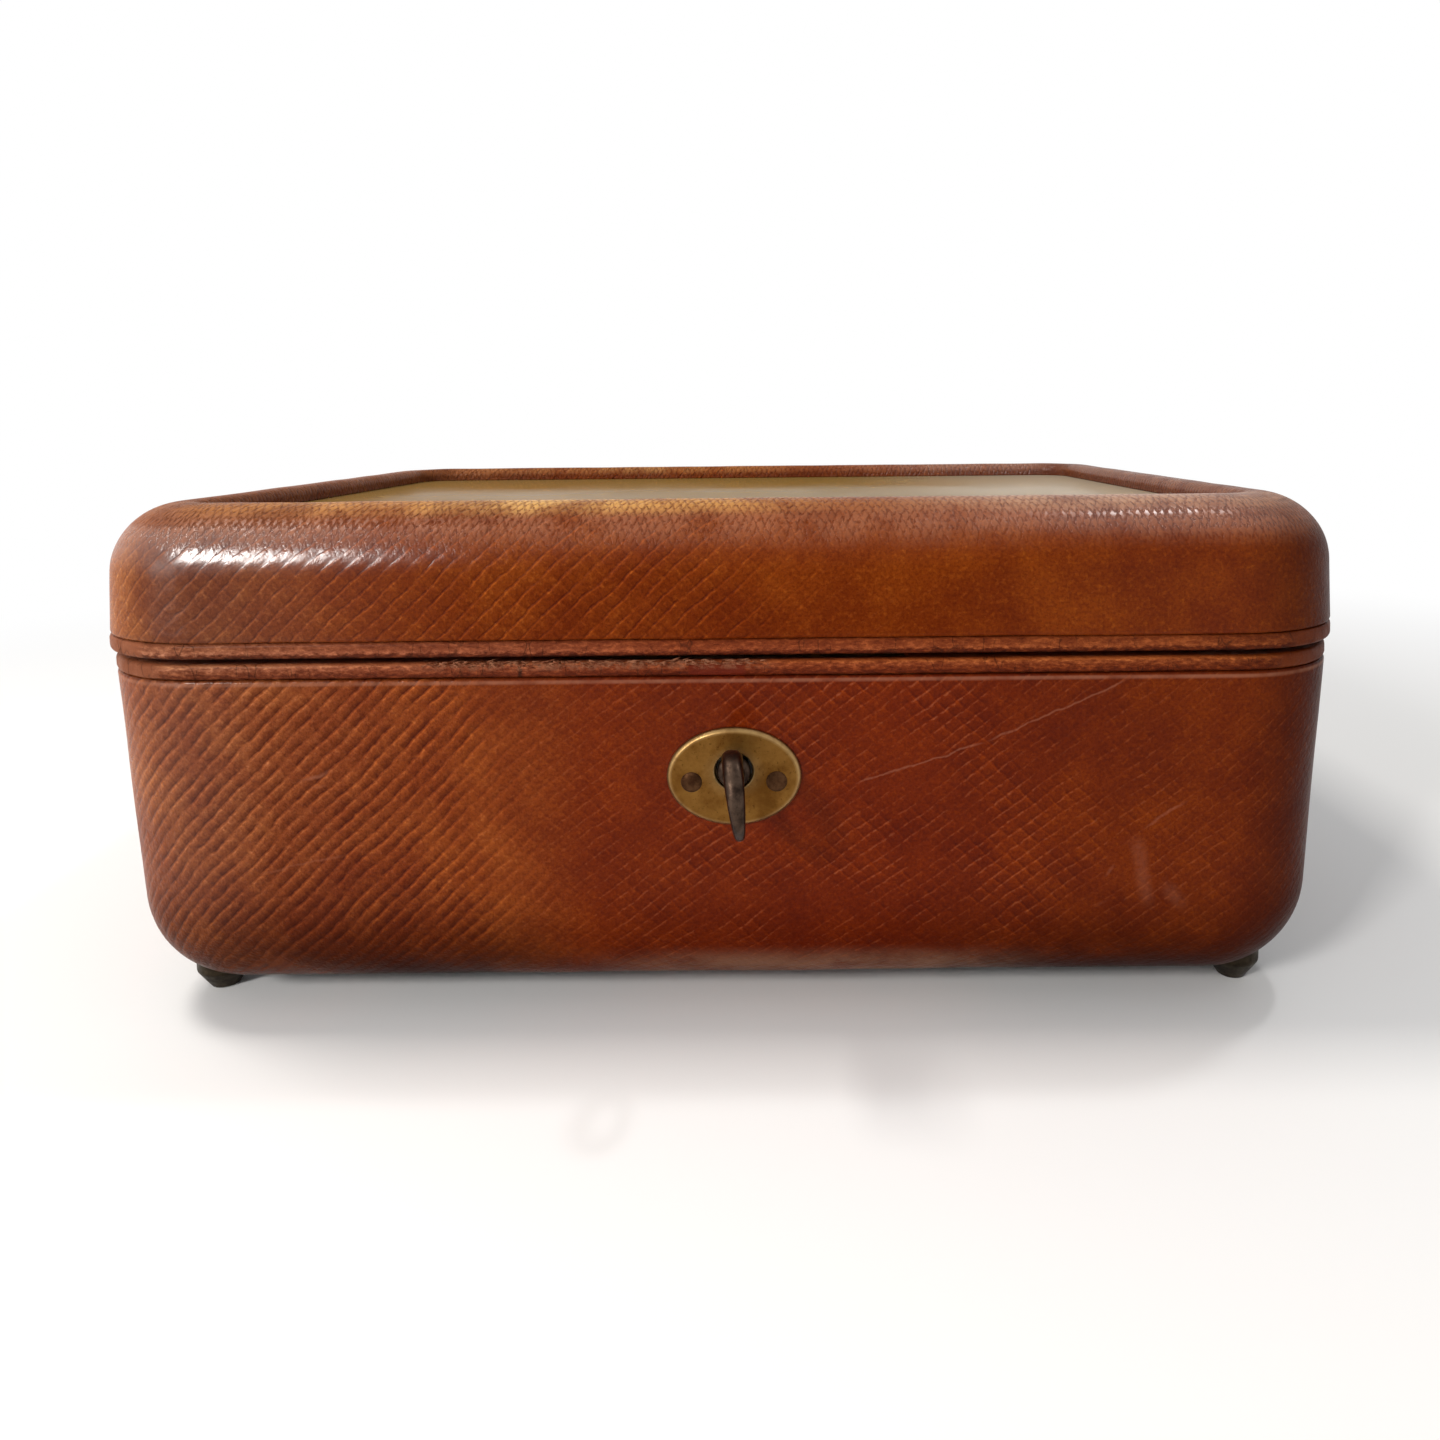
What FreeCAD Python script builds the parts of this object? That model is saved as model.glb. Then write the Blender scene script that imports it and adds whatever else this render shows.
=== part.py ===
import FreeCAD, Part
import math
import os

import Sketcher

# A leather-covered jewellery case: a wooden box and lid under straight-grain leather, a glass pane let
# into the lid, a lift-out tray with ring rolls, a box lock with its key, and two butt hinges.
# Millimetres. +Z is up, the front faces -Y, and the origin is on the surface that the feet stand on.

SIZES = [
    ("case_width", 254.0, "lid rim, left to right"),
    ("case_depth", 184.0, "lid rim, front to back"),
    ("corner_radius", 27.0, "plan corner of the lid rim"),
    ("foot_height", 4.0, "underside of the leather above the table"),
    ("base_height", 72.0, "underside of the leather to the base rim"),
    ("rim_gap", 1.1, "gap between base rim and lid rim"),
    ("lid_height", 28.8, "lid rim to the crest"),
    ("base_inset", 0.9, "base rim inside the lid rim"),
    ("base_draft", 2.8, "lean of the base walls, degrees"),
    ("lid_draft", 3.0, "lean of the lid walls, degrees"),
    ("bottom_round", 22.0, "rounding under the base"),
    ("lid_top_round", 14.0, "rounding of the lid's outer top edge"),
    ("crest_round", 2.4, "rounding of the lid's inner top edge"),
    ("fillet_margin", 0.5, "flat left beside a limited rounding"),
    ("leather_thickness", 1.2, "covering leather"),
    ("rim_cap_height", 2.3, "leather-faced strip on each rim"),
    ("rim_cap_round", 0.6, "rounding of the strip's outer edges"),
    ("wall_thickness", 9.0, "boards of the base at the rim"),
    ("floor_thickness", 12.0, "bottom board"),
    ("mitre_reach", 45.0, "how far a mitre runs in from the corner"),
    ("lining_thickness", 1.0, "velvet on card"),
    ("lining_drop", 3.0, "lining ends below the rim"),
    ("underside_margin", 32.0, "underside sheet inside the base rim"),
    ("underside_thickness", 0.6, "underside sheet"),
    ("underside_corner", 8.0, "plan corner of the underside sheet"),
    ("foot_radius", 5.5, "stud foot"),
    ("foot_tip_radius", 2.8, "flat of the stud foot"),
    ("foot_tip_rise", 4.2, "slope from the flat to the full foot"),
    ("foot_round", 1.4, "rounding of the foot's shoulder"),
    ("foot_tip_round", 0.6, "rounding of the foot's tip"),
    ("foot_sunk", 6.6, "foot let into the base above its underside"),
    ("foot_peg_radius", 2.0, "peg of the foot"),
    ("foot_peg_length", 4.0, "peg above the sunk foot"),
    ("foot_inset_side", 16.0, "foot centre inside the base rim, sideways"),
    ("foot_inset_front", 23.5, "foot centre inside the base rim, front and back"),
    ("frame_width", 18.0, "lid frame round the glass"),
    ("recess_depth", 4.0, "crest to glass"),
    ("opening_corner", 9.0, "plan corner of the lid's opening"),
    ("glass_thickness", 3.0, "glass pane"),
    ("glass_lap", 4.0, "glass behind the frame"),
    ("glass_clearance", 0.3, "round the edge of the glass"),
    ("bead_height", 5.0, "strip under the glass"),
    ("bead_setback", 1.0, "strip hidden behind the frame"),
    ("bead_pin_radius", 0.6, "pin through a strip"),
    ("bead_pin_length", 9.0, "pin through a strip"),
    ("bead_pin_spacing", 80.0, "pins of one strip, centre to centre"),
    ("tray_clearance", 1.2, "round the tray"),
    ("tray_drop", 4.0, "tray top below the base rim"),
    ("tray_height", 24.0, "tray"),
    ("tray_wall", 3.0, "tray sides"),
    ("tray_floor", 2.5, "tray bottom"),
    ("tray_lining", 0.8, "velvet inside the tray"),
    ("tray_lining_drop", 1.5, "tray lining below the tray top"),
    ("support_thickness", 3.0, "strip that carries the tray"),
    ("support_length", 110.0, "strip that carries the tray"),
    ("divider_thickness", 3.0, "tray divider"),
    ("divider_drop", 2.0, "divider below the tray top"),
    ("divider_offset", 38.0, "long dividers from the middle"),
    ("ring_bay_depth", 78.0, "bay of the ring rolls, front to back"),
    ("roll_gap", 0.4, "between ring rolls, and at their ends"),
    ("roll_height", 13.0, "ring roll"),
    ("roll_end_round", 2.5, "rounding at the ends of a ring roll"),
    ("lock_offset", 3.0, "lock to the right of the middle"),
    ("key_drop", 21.6, "key axis below the base rim"),
    ("lock_width", 56.0, "lock case"),
    ("lock_depth", 6.8, "lock case with its cap"),
    ("lock_height", 31.0, "lock case below the selvedge"),
    ("lock_plate", 0.8, "sheet of the lock case"),
    ("selvedge_length", 66.0, "lock plate on the rim"),
    ("selvedge_depth", 8.0, "lock plate on the rim"),
    ("selvedge_thickness", 1.2, "lock plate on the rim"),
    ("keyhole_radius", 3.65, "round part of the keyhole"),
    ("keyhole_slot", 2.0, "slot of the keyhole"),
    ("bit_clearance", 0.5, "bit to the end of the slot"),
    ("drill_radius", 1.2, "drill pin that the key fits over"),
    ("drill_fit", 0.1, "key bore round the drill pin"),
    ("drill_length", 9.0, "drill pin"),
    ("barrel_radius", 2.5, "key barrel"),
    ("barrel_clearance", 0.3, "barrel end to the lock cap"),
    ("bore_spare", 1.0, "key bore beyond the drill pin"),
    ("bit_radius", 7.2, "tip of the bit from the key axis"),
    ("bit_thickness", 1.5, "key bit"),
    ("bit_length", 4.0, "key bit along the key"),
    ("bit_setback", 0.5, "bit in front of the lock cap"),
    ("collar_radius", 3.15, "key collar"),
    ("collar_length", 2.2, "key collar"),
    ("neck_radius", 2.0, "key between collar and bow"),
    ("neck_length", 4.6, "key between collar and bow"),
    ("bow_radius", 8.0, "key bow"),
    ("bow_hole_radius", 4.9, "key bow"),
    ("bow_seat", 0.6, "bow let into the neck"),
    ("bow_thickness", 4.3, "bow beside the neck"),
    ("bow_tip_thickness", 1.6, "bow at its far end"),
    ("bow_round", 0.6, "rounding of the bow's edges"),
    ("bolt_travel", 6.06, "throw of the bolt"),
    ("bolt_thickness", 1.8, "bolt plate"),
    ("bolt_clearance", 0.3, "bolt under the selvedge"),
    ("bolt_bar_height", 8.5, "bar of the bolt"),
    ("bolt_end", 2.6, "bar beyond its notches"),
    ("bolt_web_left", 8.0, "web beside the key"),
    ("bolt_web_right", 3.5, "web beyond the window"),
    ("bolt_web_below", 9.0, "web below the key axis"),
    ("window_clearance", 1.0, "bolt window round the barrel"),
    ("window_below", 5.0, "bolt window below the key axis"),
    ("talon_half_width", 1.8, "notch that the bit drives"),
    ("staple_offset", 16.0, "staples from the middle of the lock"),
    ("staple_thickness", 2.0, "staple"),
    ("staple_width", 4.0, "staple"),
    ("staple_reach", 8.3, "staple below the base rim"),
    ("staple_clearance", 0.4, "slot round a staple"),
    ("eye_width", 2.6, "eye of the staple"),
    ("eye_height", 3.4, "eye of the staple"),
    ("eye_drop", 5.0, "middle of the eye below the base rim"),
    ("finger_height", 2.4, "bolt finger that enters the eye"),
    ("finger_clearance", 0.6, "bolt to staple when unlocked and when locked"),
    ("strike_length", 50.0, "plate that carries the staples"),
    ("strike_screw_offset", 21.0, "strike screws from the middle of the lock"),
    ("lock_screw_setback", 2.6, "lock screws from the end of the selvedge"),
    ("escutcheon_width", 26.0, "oval plate"),
    ("escutcheon_height", 19.6, "oval plate"),
    ("escutcheon_body", 0.7, "plate below its bevel"),
    ("escutcheon_bevel", 0.5, "bevel, across and up"),
    ("escutcheon_drop", 1.3, "plate centre below the key axis"),
    ("pin_spacing", 16.4, "escutcheon pins, centre to centre"),
    ("pin_drop", 0.8, "escutcheon pins below the plate centre"),
    ("pin_head_radius", 2.0, "escutcheon pin"),
    ("pin_head_height", 0.8, "escutcheon pin"),
    ("pin_head_slope", 0.8, "head narrower at its top"),
    ("pin_shank_radius", 0.7, "escutcheon pin"),
    ("pin_clearance", 0.4, "escutcheon pins to the lock case"),
    ("hinge_offset", 70.0, "hinges from the middle"),
    ("hinge_length", 36.0, "hinge"),
    ("hinge_setback", 0.6, "hinge pin behind the lid rim"),
    ("knuckle_radius", 2.6, "hinge knuckle"),
    ("knuckle_gap", 0.2, "between knuckles"),
    ("knuckle_clearance", 0.4, "room round the knuckles"),
    ("hinge_pin_radius", 1.2, "hinge pin"),
    ("hinge_pin_fit", 0.05, "turning knuckle round the pin"),
    ("hinge_pin_end", 0.4, "pin beyond the knuckles"),
    ("leaf_thickness", 1.2, "hinge leaf"),
    ("leaf_depth", 10.0, "hinge leaf, from the pin"),
    ("leaf_gap", 0.4, "between closed leaves"),
    ("hinge_screw_setback", 6.3, "hinge screws from the pin"),
    ("hinge_screw_spacing", 12.0, "hinge screws, centre to centre"),
    ("screw_head_radius", 2.0, "countersunk screw"),
    ("screw_head_height", 0.9, "countersunk screw"),
    ("screw_shank_radius", 1.1, "countersunk screw"),
    ("screw_length", 8.0, "countersunk screw below its head"),
]
RING_ROLLS = 5
HINGE_SCREWS = 3
NEAR = 0.001

doc = FreeCAD.newDocument("jewellery_case")
sheet = doc.addObject("Spreadsheet::Sheet", "Sizes")
for row, (alias, number, note) in enumerate(SIZES, 1):
    sheet.set(f"A{row}", alias)
    sheet.set(f"B{row}", str(number))
    sheet.set(f"C{row}", note)
    sheet.setAlias(f"B{row}", alias)
doc.recompute()

# Levels and outlines that several pieces share, as sums of the sizes

UNDERSIDE = "Sizes.foot_height"
BASE_RIM = "(Sizes.foot_height + Sizes.base_height)"
BASE_BOARD_TOP = f"({BASE_RIM} - Sizes.rim_cap_height)"
FLOOR = f"({UNDERSIDE} + Sizes.leather_thickness + Sizes.floor_thickness)"
LID_RIM = f"({BASE_RIM} + Sizes.rim_gap)"
LID_BOARD_FOOT = f"({LID_RIM} + Sizes.rim_cap_height)"
CREST = f"({LID_RIM} + Sizes.lid_height)"
GLASS_TOP = f"({CREST} - Sizes.recess_depth)"
GLASS_FOOT = f"({GLASS_TOP} - Sizes.glass_thickness)"
BEAD_FOOT = f"({GLASS_FOOT} - Sizes.bead_height)"
TRAY_TOP = f"({BASE_RIM} - Sizes.tray_drop)"
TRAY_FOOT = f"({TRAY_TOP} - Sizes.tray_height)"
TRAY_FLOOR = f"({TRAY_FOOT} + Sizes.tray_floor + Sizes.tray_lining)"
HINGE_Y = "(Sizes.case_depth / 2 + Sizes.hinge_setback)"
HINGE_Z = f"({BASE_RIM} + Sizes.rim_gap / 2)"

BASE_W = "(Sizes.case_width - 2 * Sizes.base_inset)"
BASE_D = "(Sizes.case_depth - 2 * Sizes.base_inset)"
BASE_R = "(Sizes.corner_radius - Sizes.base_inset)"
WALL = "(Sizes.leather_thickness + Sizes.wall_thickness)"
HOLLOW_W = f"({BASE_W} - 2 * {WALL})"
HOLLOW_D = f"({BASE_D} - 2 * {WALL})"
HOLLOW_R = f"({BASE_R} - {WALL})"
OPENING_W = "(Sizes.case_width - 2 * Sizes.frame_width)"
OPENING_D = "(Sizes.case_depth - 2 * Sizes.frame_width)"
TRAY_INSET = "(Sizes.lining_thickness + Sizes.tray_clearance)"
TRAY_HOLLOW_INSET = f"({TRAY_INSET} + Sizes.tray_wall + Sizes.tray_lining)"
TRAY_HOLLOW_W = f"({HOLLOW_W} - 2 * {TRAY_HOLLOW_INSET})"
TRAY_HOLLOW_D = f"({HOLLOW_D} - 2 * {TRAY_HOLLOW_INSET})"

BASE_ROOM = f"({BASE_R} - Sizes.base_height * tan(Sizes.base_draft) - Sizes.fillet_margin)"
LID_ROOM = "(Sizes.corner_radius - Sizes.lid_height * tan(Sizes.lid_draft) - Sizes.fillet_margin)"
BOTTOM_ROUND = f"min(Sizes.bottom_round; {BASE_ROOM})"
LID_TOP_ROUND = f"min(Sizes.lid_top_round; {LID_ROOM})"
CREST_ROOM = f"(Sizes.frame_width - Sizes.lid_height * tan(Sizes.lid_draft) - {LID_TOP_ROUND})"
CREST_ROUND = f"min(Sizes.crest_round; {CREST_ROOM})"

LOCK_X = "Sizes.lock_offset"
KEY_Z = f"({BASE_RIM} - Sizes.key_drop)"
FRONT_RIM_Y = f"(-{BASE_D} / 2)"
FACE_Y = f"({FRONT_RIM_Y} + Sizes.key_drop * tan(Sizes.base_draft))"
WALL_IN_Y = f"({FRONT_RIM_Y} + {WALL})"
LOCK_TOP = f"({BASE_RIM} - Sizes.selvedge_thickness)"
LOCK_FOOT = f"({LOCK_TOP} - Sizes.lock_height)"
CAP_Y = f"({WALL_IN_Y} - Sizes.lock_plate)"
BOLT_Y = f"({WALL_IN_Y} - Sizes.lock_depth / 2)"
SELVEDGE_Y = f"({WALL_IN_Y} - Sizes.selvedge_depth / 2)"
BAR_TOP = f"({LOCK_TOP} - Sizes.bolt_clearance)"
BAR_FOOT = f"({BAR_TOP} - Sizes.bolt_bar_height)"

X_AXIS = FreeCAD.Vector(1, 0, 0)
Y_AXIS = FreeCAD.Vector(0, 1, 0)
Z_AXIS = FreeCAD.Vector(0, 0, 1)
TURNS = {
    "up": FreeCAD.Rotation(),
    "down": FreeCAD.Rotation(X_AXIS, 180),
    "right": FreeCAD.Rotation(Y_AXIS, 90),
    "left": FreeCAD.Rotation(Y_AXIS, -90),
    "front": FreeCAD.Rotation(X_AXIS, 90),
    "back": FreeCAD.Rotation(X_AXIS, -90),
}
nodes = []


# Helpers that make bound features

def value(text):
    return float(sheet.evalExpression(text))


def bind(feature, **expressions):
    for name, text in expressions.items():
        feature.setExpression(name, text)
    return feature


def put(feature, x="0", y="0", z="0"):
    feature.setExpression(".Placement.Base.x", x)
    feature.setExpression(".Placement.Base.y", y)
    feature.setExpression(".Placement.Base.z", z)
    return feature


def block(name, length, width, height, x="0", y="0", z="0"):
    """A box centred on x and y that stands on z."""
    box = doc.addObject("Part::Box", name)
    bind(box, Length=length, Width=width, Height=height)
    return put(box, f"{x} - ({length}) / 2", f"{y} - ({width}) / 2", z)


def rod(name, radius, length, x="0", y="0", z="0", towards="up"):
    cylinder = doc.addObject("Part::Cylinder", name)
    cylinder.Placement = FreeCAD.Placement(FreeCAD.Vector(), TURNS[towards])
    bind(cylinder, Radius=radius, Height=length)
    return put(cylinder, x, y, z)


def join(name, *pieces):
    fusion = doc.addObject("Part::MultiFuse", name)
    fusion.Shapes = list(pieces)
    return fusion


def group(name, pieces):
    compound = doc.addObject("Part::Compound", name)
    compound.Links = list(pieces)
    return compound


def cut(name, base, *tools):
    result = doc.addObject("Part::Cut", name)
    result.Base = base
    result.Tool = tools[0] if len(tools) == 1 else join(f"{name}_tools", *tools)
    return result


def common(name, base, tool):
    result = doc.addObject("Part::Common", name)
    result.Base = base
    result.Tool = tool
    return result


def node(piece):
    nodes.append(piece)
    return piece


def origin_plane(body, role):
    return next(plane for plane in body.Origin.OriginFeatures if plane.Role == role)


def new_sketch(body, name, role, offset="0"):
    sketch = body.newObject("Sketcher::SketchObject", name)
    sketch.AttachmentSupport = [(origin_plane(body, role), "")]
    sketch.MapMode = "FlatFace"
    sketch.setExpression(".AttachmentOffset.Base.z", offset)
    return sketch


def name_size(sketch, constraint, name, text):
    sketch.renameConstraint(sketch.addConstraint(constraint), name)
    sketch.setExpression(f"Constraints.{name}", text)


def rounded_rectangle(body, name, width, depth, corner, level):
    """A sketch of a rectangle about the origin, with its corners as tangent arcs."""
    sketch = new_sketch(body, name, "XY_Plane", level)
    radius = value(corner)
    x = value(width) / 2 - radius
    y = value(depth) / 2 - radius
    edges = []
    for quarter, (cx, cy) in enumerate([(x, -y), (x, y), (-x, y), (-x, -y)]):
        start = math.pi / 2 * (quarter - 1)
        centre = FreeCAD.Vector(cx, cy)
        circle = Part.Circle(centre, Z_AXIS, radius)
        edges.append(sketch.addGeometry(Part.ArcOfCircle(circle, start, start + math.pi / 2)))
    sides = []
    for quarter in range(4):
        after = edges[(quarter + 1) % 4]
        start = sketch.Geometry[edges[quarter]].EndPoint
        end = sketch.Geometry[after].StartPoint
        side = sketch.addGeometry(Part.LineSegment(start, end))
        sketch.addConstraint(Sketcher.Constraint("Tangent", edges[quarter], 2, side, 1))
        sketch.addConstraint(Sketcher.Constraint("Tangent", side, 2, after, 1))
        sketch.addConstraint(Sketcher.Constraint("Vertical" if quarter % 2 == 0 else "Horizontal", side))
        sides.append(side)
    for edge in edges[1:]:
        sketch.addConstraint(Sketcher.Constraint("Equal", edges[0], edge))
    sketch.addConstraint(Sketcher.Constraint("Symmetric", edges[0], 3, edges[2], 3, -1, 1))
    right, back, left, front = sides
    name_size(sketch, Sketcher.Constraint("DistanceX", left, 1, right, 1, 2 * (x + radius)), "width", width)
    name_size(sketch, Sketcher.Constraint("DistanceY", front, 1, back, 1, 2 * (y + radius)), "depth", depth)
    name_size(sketch, Sketcher.Constraint("Radius", edges[0], radius), "corner", corner)
    return sketch


def flat_face(feature, level):
    """The name of the face that lies flat at a height."""
    for number, face in enumerate(feature.Shape.Faces, 1):
        if abs(face.BoundBox.ZMin - level) < NEAR and abs(face.BoundBox.ZMax - level) < NEAR:
            return f"Face{number}"
    raise ValueError(f"no flat face at {level}")


def round_faces(body, name, base, faces, radius):
    fillet = body.newObject("PartDesign::Fillet", name)
    fillet.Base = (base, faces)
    fillet.setExpression("Radius", radius)
    doc.recompute()
    return fillet


def rounded_block(name, width, depth, corner, level, height, up=True, draft="0"):
    """A body with the rounded rectangle at a level, padded up or down and leaning in by the draft."""
    body = doc.addObject("PartDesign::Body", name)
    sketch = rounded_rectangle(body, f"{name}_outline", width, depth, corner, level)
    pad = body.newObject("PartDesign::Pad", f"{name}_pad")
    pad.Profile = sketch
    pad.Reversed = not up
    bind(pad, Length=height, TaperAngle=f"-({draft})")
    doc.recompute()
    return body


# The base: leather skin, boards and rim strip

def base_shell(name, inset, rounding):
    """The base's outer form, drawn in evenly by an inset."""
    body = rounded_block(
        name, f"{BASE_W} - 2 * {inset}", f"{BASE_D} - 2 * {inset}", f"{BASE_R} - {inset}",
        BASE_RIM, f"Sizes.base_height - {inset}", up=False, draft="Sizes.base_draft")
    foot = value(f"{UNDERSIDE} + {inset}")
    round_faces(body, f"{name}_bottom", body.Tip, [flat_face(body.Tip, foot)], rounding)
    return body


base_outer = base_shell("base_outer", "0", BOTTOM_ROUND)
base_core = base_shell("base_core", "Sizes.leather_thickness", f"{BOTTOM_ROUND} - Sizes.leather_thickness")
base_hollow = rounded_block(
    "base_hollow", HOLLOW_W, HOLLOW_D, HOLLOW_R, BASE_RIM, f"{BASE_RIM} - {FLOOR}", up=False)
base_top = block(
    "base_top", "Sizes.case_width", "Sizes.case_depth", "2 * Sizes.rim_cap_height", z=BASE_BOARD_TOP)


def rim_cap(name, width, depth, corner, level, up, draft):
    body = rounded_block(name, width, depth, corner, level, "Sizes.rim_cap_height", up, draft)
    reach = value("Sizes.rim_cap_height")
    rim = value(level)
    far = rim + reach if up else rim - reach
    edges = [flat_face(body.Tip, rim), flat_face(body.Tip, far)]
    round_faces(body, f"{name}_edges", body.Tip, edges, "Sizes.rim_cap_round")
    return body


base_cap = rim_cap("base_cap", BASE_W, BASE_D, BASE_R, BASE_RIM, False, "Sizes.base_draft")
base_wood = cut("base_wood", base_core, base_hollow, base_top)


# The feet: turned studs, let into the bottom and pegged

def turned(name, outline):
    """A body turned about Z from (radius, height) corners, starting and ending on the axis."""
    body = doc.addObject("PartDesign::Body", name)
    sketch = new_sketch(body, f"{name}_profile", "XZ_Plane")
    corners = [FreeCAD.Vector(value(radius), value(height)) for radius, height in outline]
    count = len(corners)
    for index, corner in enumerate(corners):
        sketch.addGeometry(Part.LineSegment(corner, corners[(index + 1) % count]))
    for index in range(count):
        sketch.addConstraint(Sketcher.Constraint("Coincident", index, 2, (index + 1) % count, 1))
    for index, (radius, height) in enumerate(outline):
        x = Sketcher.Constraint("DistanceX", -1, 1, index, 1, corners[index].x)
        y = Sketcher.Constraint("DistanceY", -1, 1, index, 1, corners[index].y)
        name_size(sketch, x, f"radius_{index}", radius)
        name_size(sketch, y, f"height_{index}", height)
    turn = body.newObject("PartDesign::Revolution", f"{name}_turn")
    turn.Profile = sketch
    turn.ReferenceAxis = (sketch, ["V_Axis"])
    turn.Angle = 360
    doc.recompute()
    return body


FOOT_SEAT = f"({UNDERSIDE} + Sizes.foot_sunk)"
FOOT_X = f"({BASE_W} / 2 - Sizes.foot_inset_side)"
FOOT_Y = f"({BASE_D} / 2 - Sizes.foot_inset_front)"
FOOT_OUTLINE = [
    ("0", "0"),
    ("Sizes.foot_tip_radius", "0"),
    ("Sizes.foot_radius", "Sizes.foot_tip_rise"),
    ("Sizes.foot_radius", FOOT_SEAT),
    ("Sizes.foot_peg_radius", FOOT_SEAT),
    ("Sizes.foot_peg_radius", f"{FOOT_SEAT} + Sizes.foot_peg_length"),
    ("0", f"{FOOT_SEAT} + Sizes.foot_peg_length"),
]


def circle_edge(shape, radius, height):
    for number, edge in enumerate(shape.Edges, 1):
        box = edge.BoundBox
        level = abs(box.ZMin - height) < NEAR and abs(box.ZMax - height) < NEAR
        if level and abs(box.XMax - radius) < NEAR:
            return f"Edge{number}"
    raise ValueError(f"no edge of radius {radius} at {height}")


feet = []
for end, end_sign in (("front", "-"), ("back", "")):
    for side, side_sign in (("left", "-"), ("right", "")):
        foot = turned(f"foot_{end}_{side}", FOOT_OUTLINE)
        shoulder = circle_edge(foot.Tip.Shape, value("Sizes.foot_radius"), value("Sizes.foot_tip_rise"))
        round_faces(foot, f"{foot.Name}_round", foot.Tip, [shoulder], "Sizes.foot_round")
        tip = circle_edge(foot.Tip.Shape, value("Sizes.foot_tip_radius"), 0)
        round_faces(foot, f"{foot.Name}_tip", foot.Tip, [tip], "Sizes.foot_tip_round")
        put(foot, f"{side_sign}{FOOT_X}", f"{end_sign}{FOOT_Y}")
        feet.append(node(foot))


# Countersunk screws, heads flush at a level, pointing up or down

def screw(name, x, y, z, towards):
    sign = "+" if towards == "up" else "-"
    head = doc.addObject("Part::Cone", f"{name}_head")
    head.Placement = FreeCAD.Placement(FreeCAD.Vector(), TURNS[towards])
    bind(head, Radius1="Sizes.screw_head_radius", Radius2="Sizes.screw_shank_radius",
         Height="Sizes.screw_head_height")
    put(head, x, y, z)
    shank_z = f"{z} {sign} Sizes.screw_head_height"
    shank = rod(f"{name}_shank", "Sizes.screw_shank_radius", "Sizes.screw_length", x, y, shank_z, towards)
    return join(name, head, shank)


# The hinges: two butt hinges, each of two leaves, three knuckles and a pin

KNUCKLE = "(Sizes.hinge_length / 3)"
RELIEF_RADIUS = "(Sizes.knuckle_radius + Sizes.knuckle_clearance)"
BASE_LEAF_Z = f"({HINGE_Z} - Sizes.leaf_gap / 2 - Sizes.leaf_thickness)"
LID_LEAF_Z = f"({HINGE_Z} + Sizes.leaf_gap / 2)"


def along_pin(name, radius, length, x, middle):
    """A cylinder on the hinge axis, centred a distance from the hinge's middle."""
    return rod(name, radius, length, f"{x} + {middle} - ({length}) / 2", HINGE_Y, HINGE_Z, "right")


def leaf_plate(name, x, z):
    plate_y = f"{HINGE_Y} - Sizes.leaf_depth / 2"
    return block(name, "Sizes.hinge_length", "Sizes.leaf_depth", "Sizes.leaf_thickness", x, plate_y, z)


base_leaf_plates = []
lid_leaf_plates = []
reliefs = []
base_hinge_screws = []
lid_hinge_screws = []
for side, sign in (("left", "-"), ("right", "")):
    hinge_x = f"{sign}Sizes.hinge_offset"
    pin_length = "Sizes.hinge_length + 2 * Sizes.hinge_pin_end"
    relief_length = f"{pin_length} + 2 * Sizes.knuckle_clearance"
    reliefs.append(along_pin(f"relief_{side}", RELIEF_RADIUS, relief_length, hinge_x, "0"))
    pin = along_pin(f"hinge_pin_{side}", "Sizes.hinge_pin_radius", pin_length, hinge_x, "0")
    node(pin)
    loose = along_pin(
        f"loose_bore_{side}", "Sizes.hinge_pin_radius + Sizes.hinge_pin_fit", pin_length, hinge_x, "0")
    knuckle_length = f"{KNUCKLE} - Sizes.knuckle_gap"
    knuckles = {}
    rooms = {}
    for place, middle in (("first", f"-{KNUCKLE}"), ("middle", "0"), ("last", KNUCKLE)):
        knuckles[place] = along_pin(
            f"knuckle_{place}_{side}", "Sizes.knuckle_radius", knuckle_length, hinge_x, middle)
        rooms[place] = along_pin(f"room_{place}_{side}", RELIEF_RADIUS, KNUCKLE, hinge_x, middle)
    base_plate = leaf_plate(f"base_plate_{side}", hinge_x, BASE_LEAF_Z)
    lid_plate = leaf_plate(f"lid_plate_{side}", hinge_x, LID_LEAF_Z)
    base_leaf_plates.append(base_plate)
    lid_leaf_plates.append(lid_plate)
    base_screws = []
    lid_screws = []
    for number in range(HINGE_SCREWS):
        screw_x = f"{hinge_x} + {number - (HINGE_SCREWS - 1) / 2} * Sizes.hinge_screw_spacing"
        screw_y = f"{HINGE_Y} - Sizes.hinge_screw_setback"
        base_head = f"{BASE_LEAF_Z} + Sizes.leaf_thickness"
        base_screws.append(screw(f"base_screw_{side}_{number}", screw_x, screw_y, base_head, "down"))
        lid_screws.append(screw(f"lid_screw_{side}_{number}", screw_x, screw_y, LID_LEAF_Z, "up"))
    base_hinge_screws += base_screws
    lid_hinge_screws += lid_screws
    base_plain = cut(f"base_plain_{side}", base_plate, rooms["middle"])
    base_rolled = join(f"base_rolled_{side}", base_plain, knuckles["first"], knuckles["last"])
    node(cut(f"hinge_base_leaf_{side}", base_rolled, pin, *base_screws))
    lid_plain = cut(f"lid_plain_{side}", lid_plate, rooms["first"], rooms["last"])
    lid_rolled = join(f"lid_rolled_{side}", lid_plain, knuckles["middle"])
    node(cut(f"hinge_lid_leaf_{side}", lid_rolled, loose, *lid_screws))
node(group("base_hinge_screws", base_hinge_screws))
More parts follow.
